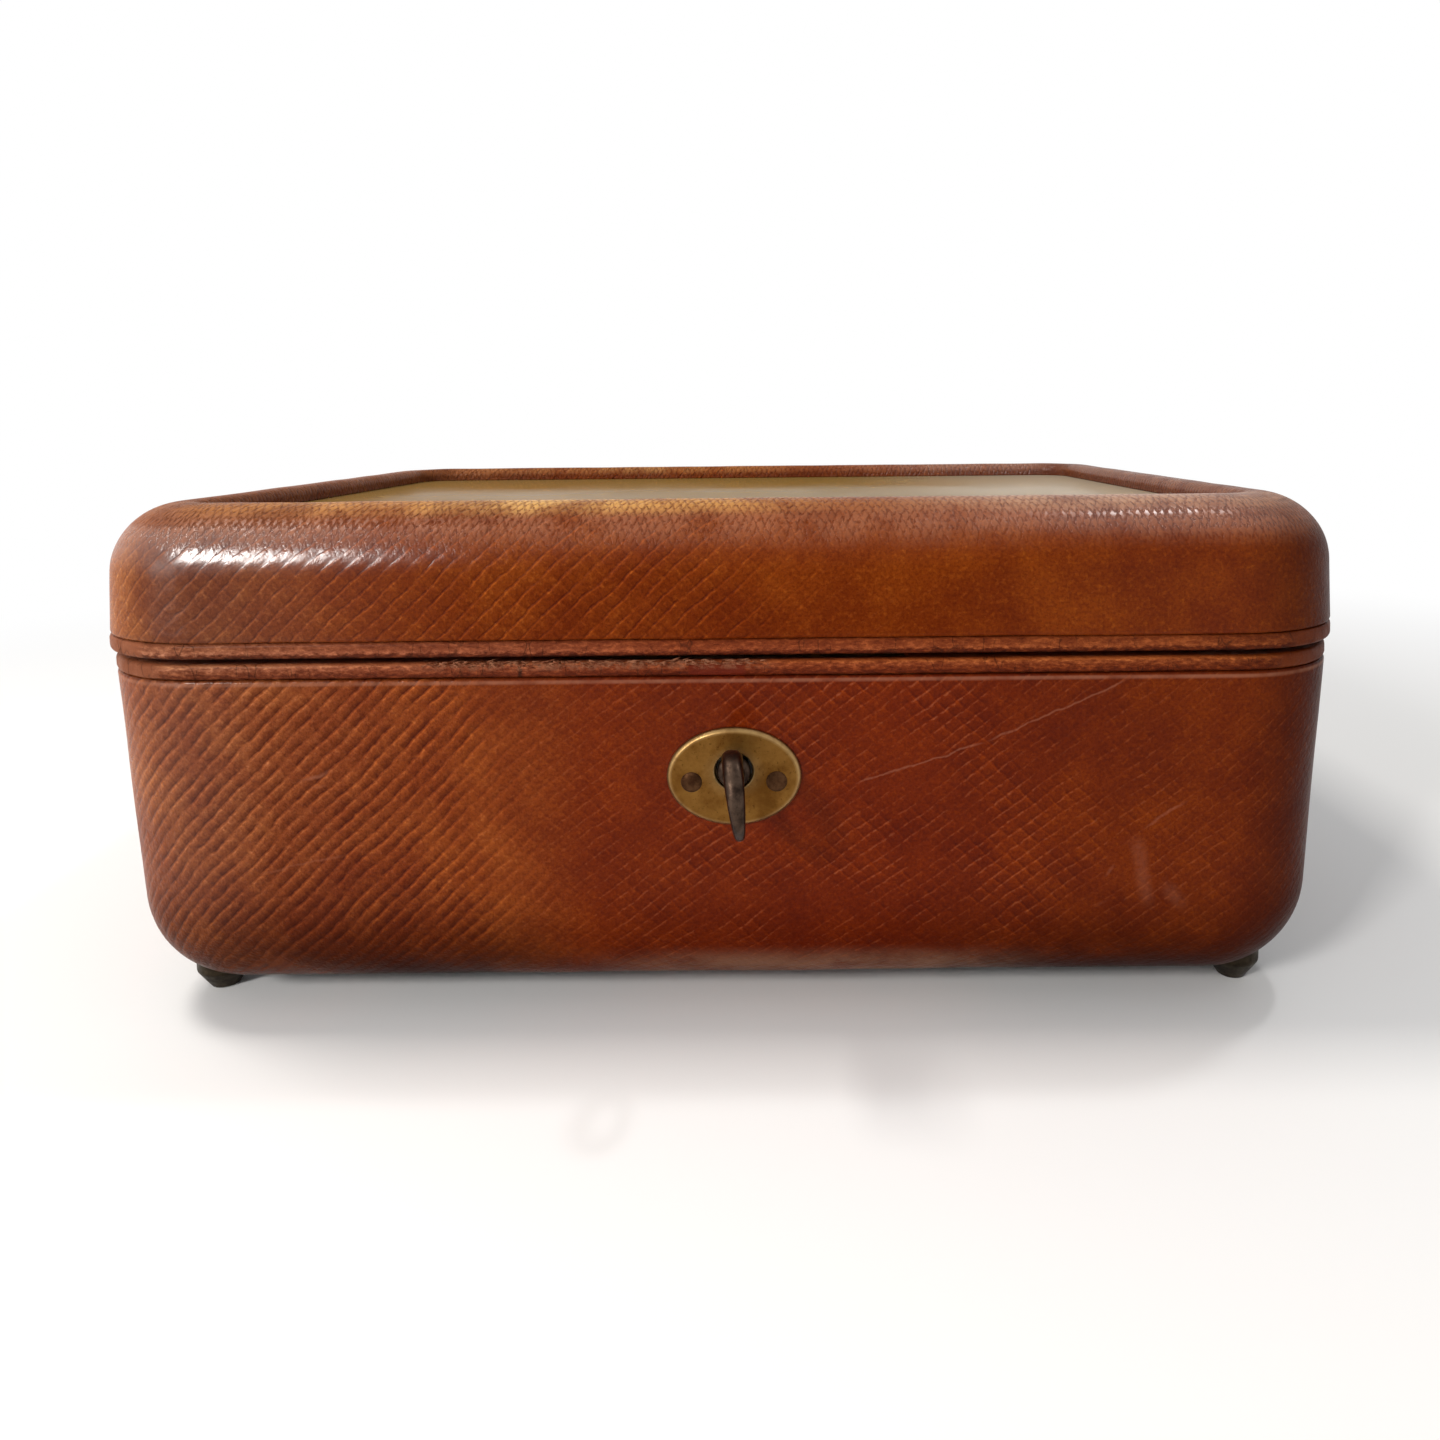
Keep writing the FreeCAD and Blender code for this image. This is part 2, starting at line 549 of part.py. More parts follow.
node(group("lid_hinge_screws", lid_hinge_screws))

# The lock: case, cap, selvedge, drill pin, screws and bolt

lock_room = block(
    "lock_room", "Sizes.lock_width", "Sizes.lock_depth", "Sizes.lock_height",
    LOCK_X, f"{WALL_IN_Y} - Sizes.lock_depth / 2", LOCK_FOOT)
lock_case_depth = "Sizes.lock_depth - Sizes.lock_plate"
case_block = block(
    "case_block", "Sizes.lock_width", lock_case_depth, "Sizes.lock_height",
    LOCK_X, f"{CAP_Y} - ({lock_case_depth}) / 2", LOCK_FOOT)
case_hollow_depth = "Sizes.lock_depth - 2 * Sizes.lock_plate"
case_hollow = block(
    "case_hollow", "Sizes.lock_width - 2 * Sizes.lock_plate", case_hollow_depth,
    "Sizes.lock_height - Sizes.lock_plate",
    LOCK_X, f"{CAP_Y} - ({case_hollow_depth}) / 2", f"{LOCK_FOOT} + Sizes.lock_plate")

SLOT_DEPTH = "(Sizes.bit_radius + Sizes.bit_clearance)"
KEYWAY = "(Sizes.lock_depth * 3)"
keyhole_round = rod(
    "keyhole_round", "Sizes.keyhole_radius", KEYWAY, LOCK_X, CAP_Y, KEY_Z, "front")
keyhole_slot = block(
    "keyhole_slot", "Sizes.keyhole_slot", KEYWAY, SLOT_DEPTH,
    LOCK_X, f"{CAP_Y} - {KEYWAY} / 2", f"{KEY_Z} - {SLOT_DEPTH}")
keyhole = join("keyhole", keyhole_round, keyhole_slot)
node(cut("lock_case", case_block, case_hollow, keyhole))
node(block(
    "lock_cap", "Sizes.lock_width", "Sizes.lock_plate", "Sizes.lock_height",
    LOCK_X, f"{WALL_IN_Y} - Sizes.lock_plate / 2", LOCK_FOOT))
drill_pin = node(rod("drill_pin", "Sizes.drill_radius", "Sizes.drill_length", LOCK_X, CAP_Y, KEY_Z, "front"))

selvedge_block = block(
    "selvedge_block", "Sizes.selvedge_length", "Sizes.selvedge_depth", "Sizes.selvedge_thickness",
    LOCK_X, SELVEDGE_Y, LOCK_TOP)
lock_screws = []
for sign in ("-", "+"):
    screw_x = f"{LOCK_X} {sign} (Sizes.selvedge_length / 2 - Sizes.lock_screw_setback)"
    lock_screws.append(screw(f"lock_screw_{len(lock_screws)}", screw_x, SELVEDGE_Y, BASE_RIM, "down"))
node(group("lock_screws", lock_screws))

staple_slots = []
staples = []
eyes = []
notches = []
fingers = []
NOTCH_RIGHT = "(Sizes.bolt_travel + Sizes.finger_clearance)"
NOTCH_LENGTH = f"(Sizes.staple_thickness + Sizes.finger_clearance + {NOTCH_RIGHT})"
NOTCH_FOOT = f"({BASE_RIM} - Sizes.staple_reach - Sizes.finger_clearance)"
FINGER = f"({NOTCH_RIGHT} - Sizes.finger_clearance)"
for number, sign in enumerate(("-", "+")):
    staple_x = f"{LOCK_X} {sign} Sizes.staple_offset"
    staple_right = f"{staple_x} + Sizes.staple_thickness / 2"
    slot_length = "Sizes.staple_thickness + 2 * Sizes.staple_clearance"
    slot_width = "Sizes.staple_width + 2 * Sizes.staple_clearance"
    staple_slots.append(block(
        f"staple_slot_{number}", slot_length, slot_width, "3 * Sizes.selvedge_thickness",
        staple_x, BOLT_Y, f"{BASE_RIM} - 2 * Sizes.selvedge_thickness"))
    staples.append(block(
        f"staple_{number}", "Sizes.staple_thickness", "Sizes.staple_width",
        "Sizes.rim_gap + Sizes.staple_reach + Sizes.selvedge_thickness",
        staple_x, BOLT_Y, f"{BASE_RIM} - Sizes.staple_reach"))
    eyes.append(block(
        f"eye_{number}", "2 * Sizes.staple_thickness", "Sizes.eye_width", "Sizes.eye_height",
        staple_x, BOLT_Y, f"{BASE_RIM} - Sizes.eye_drop - Sizes.eye_height / 2"))
    notch_x = f"{staple_right} + {NOTCH_RIGHT} - {NOTCH_LENGTH} / 2"
    notches.append(block(
        f"notch_{number}", NOTCH_LENGTH, "2 * Sizes.bolt_thickness", "2 * Sizes.bolt_bar_height",
        notch_x, BOLT_Y, NOTCH_FOOT))
    fingers.append(block(
        f"finger_{number}", FINGER, "Sizes.bolt_thickness", "Sizes.finger_height",
        f"{staple_right} + {NOTCH_RIGHT} - {FINGER} / 2", BOLT_Y,
        f"{BASE_RIM} - Sizes.eye_drop - Sizes.finger_height / 2"))
node(cut("lock_selvedge", selvedge_block, *staple_slots, *lock_screws))

BAR_LEFT = "(Sizes.staple_offset + Sizes.staple_thickness / 2 + Sizes.finger_clearance + Sizes.bolt_end)"
BAR_RIGHT = f"(Sizes.staple_offset + Sizes.staple_thickness / 2 + {NOTCH_RIGHT} + Sizes.bolt_end)"
WINDOW_HALF = "(Sizes.barrel_radius + Sizes.window_clearance)"
WINDOW_RIGHT = f"({WINDOW_HALF} + Sizes.bolt_travel)"
WEB_RIGHT = f"({WINDOW_RIGHT} + Sizes.bolt_web_right)"
WEB_FOOT = f"({KEY_Z} - Sizes.bolt_web_below)"


def between(name, left, right, foot, top, thickness):
    """A plate in the bolt's plane between two distances from the lock's middle and two heights."""
    middle = f"{LOCK_X} + ({right} - {left}) / 2"
    return block(name, f"{left} + {right}", thickness, f"{top} - {foot}", middle, BOLT_Y, foot)


bolt_bar = between("bolt_bar", BAR_LEFT, BAR_RIGHT, BAR_FOOT, BAR_TOP, "Sizes.bolt_thickness")
bolt_web = between("bolt_web", "Sizes.bolt_web_left", WEB_RIGHT, WEB_FOOT, BAR_FOOT, "Sizes.bolt_thickness")
window_foot = f"({KEY_Z} - Sizes.window_below)"
bolt_window = between(
    "bolt_window", WINDOW_HALF, WINDOW_RIGHT, window_foot, f"({KEY_Z} + {WINDOW_HALF})",
    "2 * Sizes.bolt_thickness")
bolt_talon = between(
    "bolt_talon", "Sizes.talon_half_width", "Sizes.talon_half_width",
    f"({WEB_FOOT} - Sizes.bolt_thickness)", window_foot, "2 * Sizes.bolt_thickness")
bolt_plate = join("bolt_plate", bolt_bar, bolt_web)
bolt_notched = cut("bolt_notched", bolt_plate, bolt_window, bolt_talon, *notches)
node(join("lock_bolt", bolt_notched, *fingers))

# The strike plate on the lid, with the two staples that the bolt catches

strike_block = block(
    "strike_block", "Sizes.strike_length", "Sizes.selvedge_depth", "Sizes.selvedge_thickness",
    LOCK_X, SELVEDGE_Y, LID_RIM)
strike_screws = []
for sign in ("-", "+"):
    screw_x = f"{LOCK_X} {sign} Sizes.strike_screw_offset"
    strike_screws.append(screw(f"strike_screw_{len(strike_screws)}", screw_x, SELVEDGE_Y, LID_RIM, "up"))
node(group("strike_screws", strike_screws))
strike_solid = join("strike_solid", strike_block, *staples)
node(cut("strike_plate", strike_solid, *eyes, *strike_screws))

# The key: barrel, bit, collar, neck and a bow that thins towards its end

BARREL_END = f"({CAP_Y} - Sizes.barrel_clearance)"
COLLAR_FRONT = f"({FACE_Y} - Sizes.collar_length)"
BOW_BACK = f"({COLLAR_FRONT} - Sizes.neck_length + Sizes.bow_seat)"
BOW_Y = f"({BOW_BACK} - Sizes.bow_radius)"
barrel = rod(
    "barrel", "Sizes.barrel_radius", f"{BARREL_END} - {COLLAR_FRONT}", LOCK_X, BARREL_END, KEY_Z, "front")
collar = rod("collar", "Sizes.collar_radius", "Sizes.collar_length", LOCK_X, FACE_Y, KEY_Z, "front")
neck = rod("neck", "Sizes.neck_radius", "Sizes.neck_length", LOCK_X, COLLAR_FRONT, KEY_Z, "front")
bit = block(
    "bit", "Sizes.bit_thickness", "Sizes.bit_length", "Sizes.bit_radius",
    LOCK_X, f"{CAP_Y} - Sizes.bit_setback - Sizes.bit_length / 2", f"{KEY_Z} - Sizes.bit_radius")
bore = rod(
    "bore", "Sizes.drill_radius + Sizes.drill_fit", "Sizes.drill_length + Sizes.bore_spare",
    LOCK_X, CAP_Y, KEY_Z, "front")
bow_disc = rod(
    "bow_disc", "Sizes.bow_radius", "Sizes.bow_thickness",
    f"{LOCK_X} - Sizes.bow_thickness / 2", BOW_Y, KEY_Z, "right")
bow_hole = rod(
    "bow_hole", "Sizes.bow_hole_radius", "2 * Sizes.bow_thickness",
    f"{LOCK_X} - Sizes.bow_thickness", BOW_Y, KEY_Z, "right")
bow_ring = cut("bow_ring", bow_disc, bow_hole)
bow_taper = doc.addObject("Part::Wedge", "bow_taper")
bind(bow_taper, Ymin="0", Ymax="2 * Sizes.bow_radius",
     Xmin="-Sizes.bow_tip_thickness / 2", Xmax="Sizes.bow_tip_thickness / 2",
     X2min="-Sizes.bow_thickness / 2", X2max="Sizes.bow_thickness / 2",
     Zmin="-Sizes.bow_radius", Zmax="Sizes.bow_radius",
     Z2min="-Sizes.bow_radius", Z2max="Sizes.bow_radius")
put(bow_taper, LOCK_X, f"{BOW_BACK} - 2 * Sizes.bow_radius", KEY_Z)
bow = common("bow", bow_ring, bow_taper)
doc.recompute()
bow_rounded = doc.addObject("Part::Fillet", "bow_rounded")
bow_rounded.Base = bow
bow_round = value("Sizes.bow_round")
bow_rounded.Edges = [
    (number, bow_round, bow_round) for number, edge in enumerate(bow.Shape.Edges, 1)
    if edge.Length > 2 * value("Sizes.bow_hole_radius")]
key_solid = join("key_solid", barrel, collar, neck, bit, bow_rounded)
node(cut("key", key_solid, bore))

# The escutcheon: an oval plate with a bevelled edge, which lies on the leaning front, and its two pins

PLATE_Z = f"({KEY_Z} - Sizes.escutcheon_drop)"
PLATE_Y = f"({FRONT_RIM_Y} + ({BASE_RIM} - {PLATE_Z}) * tan(Sizes.base_draft))"


def on_front(piece, across="0", up="0", out="0"):
    """Lays a piece on the front, its own +Z facing out, at a place measured from the plate's centre."""
    piece.Placement = FreeCAD.Placement(FreeCAD.Vector(), FreeCAD.Rotation(X_AXIS, 90))
    piece.setExpression(".Placement.Rotation.Angle", "90 + Sizes.base_draft")
    lean = "Sizes.base_draft"
    y = f"{PLATE_Y} - ({up}) * sin({lean}) - ({out}) * cos({lean})"
    z = f"{PLATE_Z} + ({up}) * cos({lean}) - ({out}) * sin({lean})"
    return put(piece, f"{LOCK_X} + {across}", y, z)


def oval(name, inset, out):
    ring = doc.addObject("Part::Ellipse", name)
    bind(ring, MajorRadius=f"Sizes.escutcheon_width / 2 - {inset}",
         MinorRadius=f"Sizes.escutcheon_height / 2 - {inset}")
    return on_front(ring, out=out)


PLATE_TOP = "(Sizes.escutcheon_body + Sizes.escutcheon_bevel)"
PIN_SHANK = f"({WALL_IN_Y} - Sizes.lock_depth - {PLATE_Y} - Sizes.pin_clearance)"
plate_layers = []
for layer, (low, high, shrink) in enumerate([
        ("0", "Sizes.escutcheon_body", "0"),
        ("Sizes.escutcheon_body", PLATE_TOP, "Sizes.escutcheon_bevel")]):
    loft = doc.addObject("Part::Loft", f"plate_layer_{layer}")
    loft.Sections = [oval(f"oval_{layer}_low", "0", low), oval(f"oval_{layer}_high", shrink, high)]
    loft.Solid = True
    loft.Ruled = True
    plate_layers.append(loft)
plate_solid = join("plate_solid", *plate_layers)
escutcheon_pins = []
pin_shanks = []
for number, sign in enumerate(("-", "+")):
    across = f"{sign}Sizes.pin_spacing / 2"
    pin_up = "-Sizes.pin_drop"
    head = doc.addObject("Part::Cone", f"pin_head_{number}")
    bind(head, Radius1="Sizes.pin_head_radius", Radius2="Sizes.pin_head_radius - Sizes.pin_head_slope",
         Height="Sizes.pin_head_height")
    on_front(head, across, pin_up, PLATE_TOP)
    shank = doc.addObject("Part::Cylinder", f"pin_shank_{number}")
    bind(shank, Radius="Sizes.pin_shank_radius", Height=f"{PLATE_TOP} + {PIN_SHANK}")
    on_front(shank, across, pin_up, f"-{PIN_SHANK}")
    pin_shanks.append(shank)
    escutcheon_pins.append(join(f"pin_{number}", head, shank))
node(cut("escutcheon", plate_solid, keyhole, *pin_shanks))
node(group("escutcheon_pins", escutcheon_pins))

# The base's pieces, with every seat cut by what sits in it

node(cut("base_leather", cut("base_skin", base_outer, base_core), base_top, keyhole, *pin_shanks,
         *reliefs, *feet))
node(cut("base_rim_cap", base_cap, base_hollow, selvedge_block, lock_room, *lock_screws,
         *base_leaf_plates, *base_hinge_screws, *reliefs))


def mitred(name, wood, length, reach, quarter, foot, top):
    """The part of a frame between two mitres, a quarter turn at a time from the front."""
    wedge = doc.addObject("Part::Wedge", f"{name}_mitre")
    wedge.Placement = FreeCAD.Placement(FreeCAD.Vector(), FreeCAD.Rotation(Z_AXIS, 90 * quarter))
    bind(wedge, Xmin=f"-{length} / 2", Xmax=f"{length} / 2", Ymin=f"-{reach}",
         X2min=f"-{length} / 2 + Sizes.mitre_reach", X2max=f"{length} / 2 - Sizes.mitre_reach",
         Ymax=f"-{reach} + Sizes.mitre_reach", Zmin=foot, Zmax=top, Z2min=foot, Z2max=top)
    return common(f"{name}_blank", wood, wedge)


SIDES = ["front", "right", "back", "left"]
board_tools = {
    "front": [lock_room, keyhole, *lock_screws, *pin_shanks],
    "back": [*base_hinge_screws, *reliefs],
}
for quarter, side in enumerate(SIDES):
    name = f"base_board_{side}"
    length, reach = (BASE_W, f"{BASE_D} / 2") if quarter % 2 == 0 else (BASE_D, f"{BASE_W} / 2")
    board = mitred(name, base_wood, length, reach, quarter, FLOOR, BASE_RIM)
    if side in board_tools:
        board = cut(f"{name}_fitted", board, *board_tools[side])
    board.Label = name
    node(board)
bottom_block = block(
    "bottom_block", "Sizes.case_width", "Sizes.case_depth", f"{FLOOR} - {UNDERSIDE}", z=UNDERSIDE)
node(cut("base_board_bottom", common("bottom_blank", base_wood, bottom_block), *feet))
node(rounded_block(
    "underside_cover", f"{BASE_W} - 2 * Sizes.underside_margin", f"{BASE_D} - 2 * Sizes.underside_margin",
    "Sizes.underside_corner", UNDERSIDE, "Sizes.underside_thickness", up=False))


def hollow_block(name, inset, foot, top):
    """A straight block of the case's hollow, drawn in by an inset, between two heights."""
    return rounded_block(
        name, f"{HOLLOW_W} - 2 * {inset}", f"{HOLLOW_D} - 2 * {inset}", f"{HOLLOW_R} - {inset}",
        foot, f"{top} - {foot}")


LINING_TOP = f"({BASE_RIM} - Sizes.lining_drop)"
LINING_FLOOR = f"({FLOOR} + Sizes.lining_thickness)"
lining_outer = hollow_block("lining_outer", "0", FLOOR, LINING_TOP)
lining_inner = hollow_block("lining_inner", "Sizes.lining_thickness", LINING_FLOOR, LINING_TOP)
node(cut("base_lining", lining_outer, lining_inner))

# The tray: shell, lining, dividers, ring rolls, and the strips that carry it

tray_block = hollow_block("tray_block", TRAY_INSET, TRAY_FOOT, TRAY_TOP)
tray_inside_inset = f"({TRAY_INSET} + Sizes.tray_wall)"
tray_inside_foot = f"({TRAY_FOOT} + Sizes.tray_floor)"
tray_inside = hollow_block("tray_inside", tray_inside_inset, tray_inside_foot, TRAY_TOP)
node(cut("tray_shell", tray_block, tray_inside))
tray_lining_top = f"({TRAY_TOP} - Sizes.tray_lining_drop)"
tray_lining_block = hollow_block("tray_lining_block", tray_inside_inset, tray_inside_foot, tray_lining_top)
tray_hollow = hollow_block("tray_hollow", TRAY_HOLLOW_INSET, TRAY_FLOOR, tray_lining_top)
node(cut("tray_lining", tray_lining_block, tray_hollow))

divider_height = f"{TRAY_TOP} - Sizes.divider_drop - {TRAY_FLOOR}"
side_bay = f"({TRAY_HOLLOW_W} / 2 - Sizes.divider_offset - Sizes.divider_thickness / 2)"
side_bay_x = f"({TRAY_HOLLOW_W} / 2 - {side_bay} / 2)"
middle_bay = "(2 * Sizes.divider_offset - Sizes.divider_thickness)"
bay_front = f"(-{TRAY_HOLLOW_D} / 2)"
for side, sign in (("left", "-"), ("right", "")):
    node(block(f"tray_divider_{side}", "Sizes.divider_thickness", TRAY_HOLLOW_D, divider_height,
               f"{sign}Sizes.divider_offset", "0", TRAY_FLOOR))
    node(block(f"tray_cross_{side}", side_bay, "Sizes.divider_thickness", divider_height,
               f"{sign}{side_bay_x}", "0", TRAY_FLOOR))
    support_x = f"({HOLLOW_W} / 2 - Sizes.lining_thickness - Sizes.support_thickness / 2)"
    node(block(f"tray_support_{side}", "Sizes.support_thickness", "Sizes.support_length",
               f"{TRAY_FOOT} - {LINING_FLOOR}", f"{sign}{support_x}", "0", LINING_FLOOR))
node(block("tray_cross_middle", middle_bay, "Sizes.divider_thickness", divider_height, "0",
           f"{bay_front} + Sizes.ring_bay_depth + Sizes.divider_thickness / 2", TRAY_FLOOR))

ROLL_PITCH = f"(Sizes.ring_bay_depth / {RING_ROLLS})"
ROLL_WIDTH = f"({ROLL_PITCH} - Sizes.roll_gap)"
ROLL_LENGTH = f"({middle_bay} - 2 * Sizes.roll_gap)"


def ring_roll(name, y):
    """A stuffed roll: straight sides, an arched top and ends that round over."""
    body = doc.addObject("PartDesign::Body", name)
    sketch = new_sketch(body, f"{name}_section", "YZ_Plane")
    half = value(ROLL_WIDTH) / 2
    shoulder = value("Sizes.roll_height") - half
    corners = [FreeCAD.Vector(-half, shoulder), FreeCAD.Vector(-half, 0), FreeCAD.Vector(half, 0),
               FreeCAD.Vector(half, shoulder)]
    for start, end in zip(corners, corners[1:]):
        sketch.addGeometry(Part.LineSegment(start, end))
    circle = Part.Circle(FreeCAD.Vector(0, shoulder), Z_AXIS, half)
    arch = sketch.addGeometry(Part.ArcOfCircle(circle, 0, math.pi))
    sketch.addConstraint(Sketcher.Constraint("Coincident", 0, 2, 1, 1))
    sketch.addConstraint(Sketcher.Constraint("Coincident", 1, 2, 2, 1))
    sketch.addConstraint(Sketcher.Constraint("Tangent", 2, 2, arch, 1))
    sketch.addConstraint(Sketcher.Constraint("Tangent", arch, 2, 0, 1))
    sketch.addConstraint(Sketcher.Constraint("Vertical", 0))
    sketch.addConstraint(Sketcher.Constraint("Horizontal", 1))
    sketch.addConstraint(Sketcher.Constraint("Symmetric", 1, 1, 1, 2, -1, 1))
    name_size(sketch, Sketcher.Constraint("DistanceX", 1, 1, 1, 2, 2 * half), "width", ROLL_WIDTH)
    rise = Sketcher.Constraint("DistanceY", -1, 1, arch, 3, shoulder)
    name_size(sketch, rise, "shoulder", f"Sizes.roll_height - {ROLL_WIDTH} / 2")
    pad = body.newObject("PartDesign::Pad", f"{name}_pad")
    pad.Profile = sketch
    pad.setExpression("Length", ROLL_LENGTH)
    doc.recompute()
    ends = [f"Face{number}" for number, face in enumerate(pad.Shape.Faces, 1) if face.BoundBox.XLength < NEAR]
    round_faces(body, f"{name}_ends", pad, ends, "Sizes.roll_end_round")
    return put(body, f"-{ROLL_LENGTH} / 2", y, TRAY_FLOOR)


for number in range(1, RING_ROLLS + 1):
    node(ring_roll(f"ring_roll_{number}", f"{bay_front} + ({number} - 0.5) * {ROLL_PITCH}"))

# The lid: leather skin round a frame, glass pane, beads, lining and rim strip

lid_outer = rounded_block(
    "lid_outer", "Sizes.case_width", "Sizes.case_depth", "Sizes.corner_radius",
    LID_RIM, "Sizes.lid_height", draft="Sizes.lid_draft")
crest = value(CREST)
round_faces(lid_outer, "lid_outer_top", lid_outer.Tip, [flat_face(lid_outer.Tip, crest)], LID_TOP_ROUND)
opening_sketch = rounded_rectangle(
    lid_outer, "lid_opening_outline", OPENING_W, OPENING_D, "Sizes.opening_corner", CREST)
opening_cut = lid_outer.newObject("PartDesign::Pocket", "lid_opening")
opening_cut.Profile = opening_sketch
opening_cut.setExpression("Length", "Sizes.lid_height")
doc.recompute()
half_opening = value(OPENING_W) / 2
inner_edges = [
    f"Edge{number}" for number, edge in enumerate(opening_cut.Shape.Edges, 1)
    if abs(edge.BoundBox.ZMin - crest) < NEAR and edge.BoundBox.XMax < half_opening + NEAR
    and edge.BoundBox.XMin > -half_opening - NEAR and abs(edge.CenterOfMass.y) < value(OPENING_D) / 2 + NEAR]
round_faces(lid_outer, "lid_crest", opening_cut, inner_edges, CREST_ROUND)

lid_core = rounded_block(
    "lid_core", "Sizes.case_width - 2 * Sizes.leather_thickness",
    "Sizes.case_depth - 2 * Sizes.leather_thickness", "Sizes.corner_radius - Sizes.leather_thickness",
    LID_RIM, "Sizes.lid_height - Sizes.leather_thickness", draft="Sizes.lid_draft")
core_top = value(f"{CREST} - Sizes.leather_thickness")
round_faces(lid_core, "lid_core_top", lid_core.Tip, [flat_face(lid_core.Tip, core_top)],
            f"{LID_TOP_ROUND} - Sizes.leather_thickness")


def opening_block(name, outset, foot, top):
    """A straight block of the lid's opening, let out by an outset, between two heights."""
    return rounded_block(
        name, f"{OPENING_W} + 2 * {outset}", f"{OPENING_D} + 2 * {outset}",
        f"Sizes.opening_corner + {outset}", foot, f"{top} - {foot}")


lid_top_hole = opening_block("lid_top_hole", "Sizes.leather_thickness", GLASS_TOP, CREST)
rebate_outset = "(Sizes.glass_lap + Sizes.glass_clearance)"
lid_rebate = opening_block("lid_rebate", rebate_outset, GLASS_FOOT, GLASS_TOP)
lid_hollow = hollow_block("lid_hollow", "0", LID_RIM, GLASS_FOOT)
lid_foot = block(
    "lid_foot", "Sizes.case_width", "Sizes.case_depth", "2 * Sizes.rim_cap_height",
    z=f"{LID_BOARD_FOOT} - 2 * Sizes.rim_cap_height")
lid_open_core = cut("lid_open_core", lid_core, lid_top_hole)
lid_wood = cut("lid_wood", lid_open_core, lid_rebate, lid_hollow, lid_foot)
node(cut("lid_leather", cut("lid_skin", lid_outer, lid_open_core), lid_foot, *reliefs))
lid_cap = rim_cap(
    "lid_cap", "Sizes.case_width", "Sizes.case_depth", "Sizes.corner_radius", LID_RIM, True,
    "Sizes.lid_draft")
node(cut("lid_rim_cap", lid_cap, lid_hollow, strike_block, *strike_screws, *lid_leaf_plates,
         *lid_hinge_screws, *reliefs))
BEAD_WIDTH = f"(Sizes.frame_width - Sizes.base_inset - {WALL} - Sizes.bead_setback)"
bead_pins = []


def bead(side, quarter):
    """One strip under the glass and the two pins that hold it to its rail."""
    crosswise = quarter % 2 == 0
    sign = "-" if side in ("front", "left") else ""
    straight = f"({HOLLOW_W if crosswise else HOLLOW_D} - 2 * {HOLLOW_R})"
    wall = f"({HOLLOW_D if crosswise else HOLLOW_W} / 2)"
    middle = f"{sign}({wall} - {BEAD_WIDTH} / 2)"
    inner = f"{sign}({wall} - {BEAD_WIDTH})"
    length, width = (straight, BEAD_WIDTH) if crosswise else (BEAD_WIDTH, straight)
    x, y = ("0", middle) if crosswise else (middle, "0")
    strip = block(f"{side}_strip", length, width, "Sizes.bead_height", x, y, BEAD_FOOT)
    pins = []
    for number, end in enumerate(("-", "")):
        along = f"{end}Sizes.bead_pin_spacing / 2"
        pin_x, pin_y = (along, inner) if crosswise else (inner, along)
        pin_z = f"{BEAD_FOOT} + Sizes.bead_height / 2"
        pins.append(rod(f"bead_pin_{side}_{number}", "Sizes.bead_pin_radius", "Sizes.bead_pin_length",
                        pin_x, pin_y, pin_z, side))
    node(cut(f"glazing_bead_{side}", strip, *pins))
    bead_pins.extend(pins)
    return pins


rail_tools = {
    "front": strike_screws,
    "back": [*lid_hinge_screws, *reliefs],
}
for quarter, side in enumerate(SIDES):
    name = f"lid_rail_{side}"
    width, depth = "Sizes.case_width", "Sizes.case_depth"
    length, reach = (width, f"{depth} / 2") if quarter % 2 == 0 else (depth, f"{width} / 2")
    blank = mitred(name, lid_wood, length, reach, quarter, LID_RIM, CREST)
    node(cut(name, blank, *bead(side, quarter), *rail_tools.get(side, [])))
node(group("glazing_pins", bead_pins))
node(opening_block("glass_pane", "Sizes.glass_lap", GLASS_FOOT, GLASS_TOP))
lid_lining_foot = f"({LID_RIM} + Sizes.lining_drop)"
lid_lining_outer = hollow_block("lid_lining_outer", "0", lid_lining_foot, BEAD_FOOT)
lid_lining_inner = hollow_block("lid_lining_inner", "Sizes.lining_thickness", lid_lining_foot, BEAD_FOOT)
node(cut("lid_lining", lid_lining_outer, lid_lining_inner))

# Every feature has to be sound before anything is written

doc.recompute()
for feature in doc.Objects:
    if "Invalid" in feature.State or "Error" in feature.State:
        raise RuntimeError(f"{feature.Name} failed: {feature.State}")
for piece in nodes:
    if piece.Shape.isNull() or not piece.Shape.isValid():
        raise RuntimeError(f"{piece.Label} has no sound shape")

os.makedirs("parts", exist_ok=True)
for piece in nodes:
    piece.Shape.exportStep(f"parts/{piece.Label}.step")
    solids = len(piece.Shape.Solids)
    print(f"{piece.Label}: {solids} solid(s), {piece.Shape.Volume:.1f} mm3")
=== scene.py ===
# %% [markdown]
# # A leather-covered jewellery case
# A wooden box and lid under straight-grain leather, with a glass pane in the lid, a brass keyhole plate, a steel
# key and a velvet tray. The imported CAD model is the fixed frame: it gives every place and every size, and this
# lesson dresses it. Pieces that are right as CAD keep their shape and get a finish. The others are made again
# here, with finer shapes, in the same place.

# %% Load the frame
import math
from contextlib import contextmanager

import bmesh
import bpy
import numpy as np
from mathutils import Euler, Matrix, Vector, noise


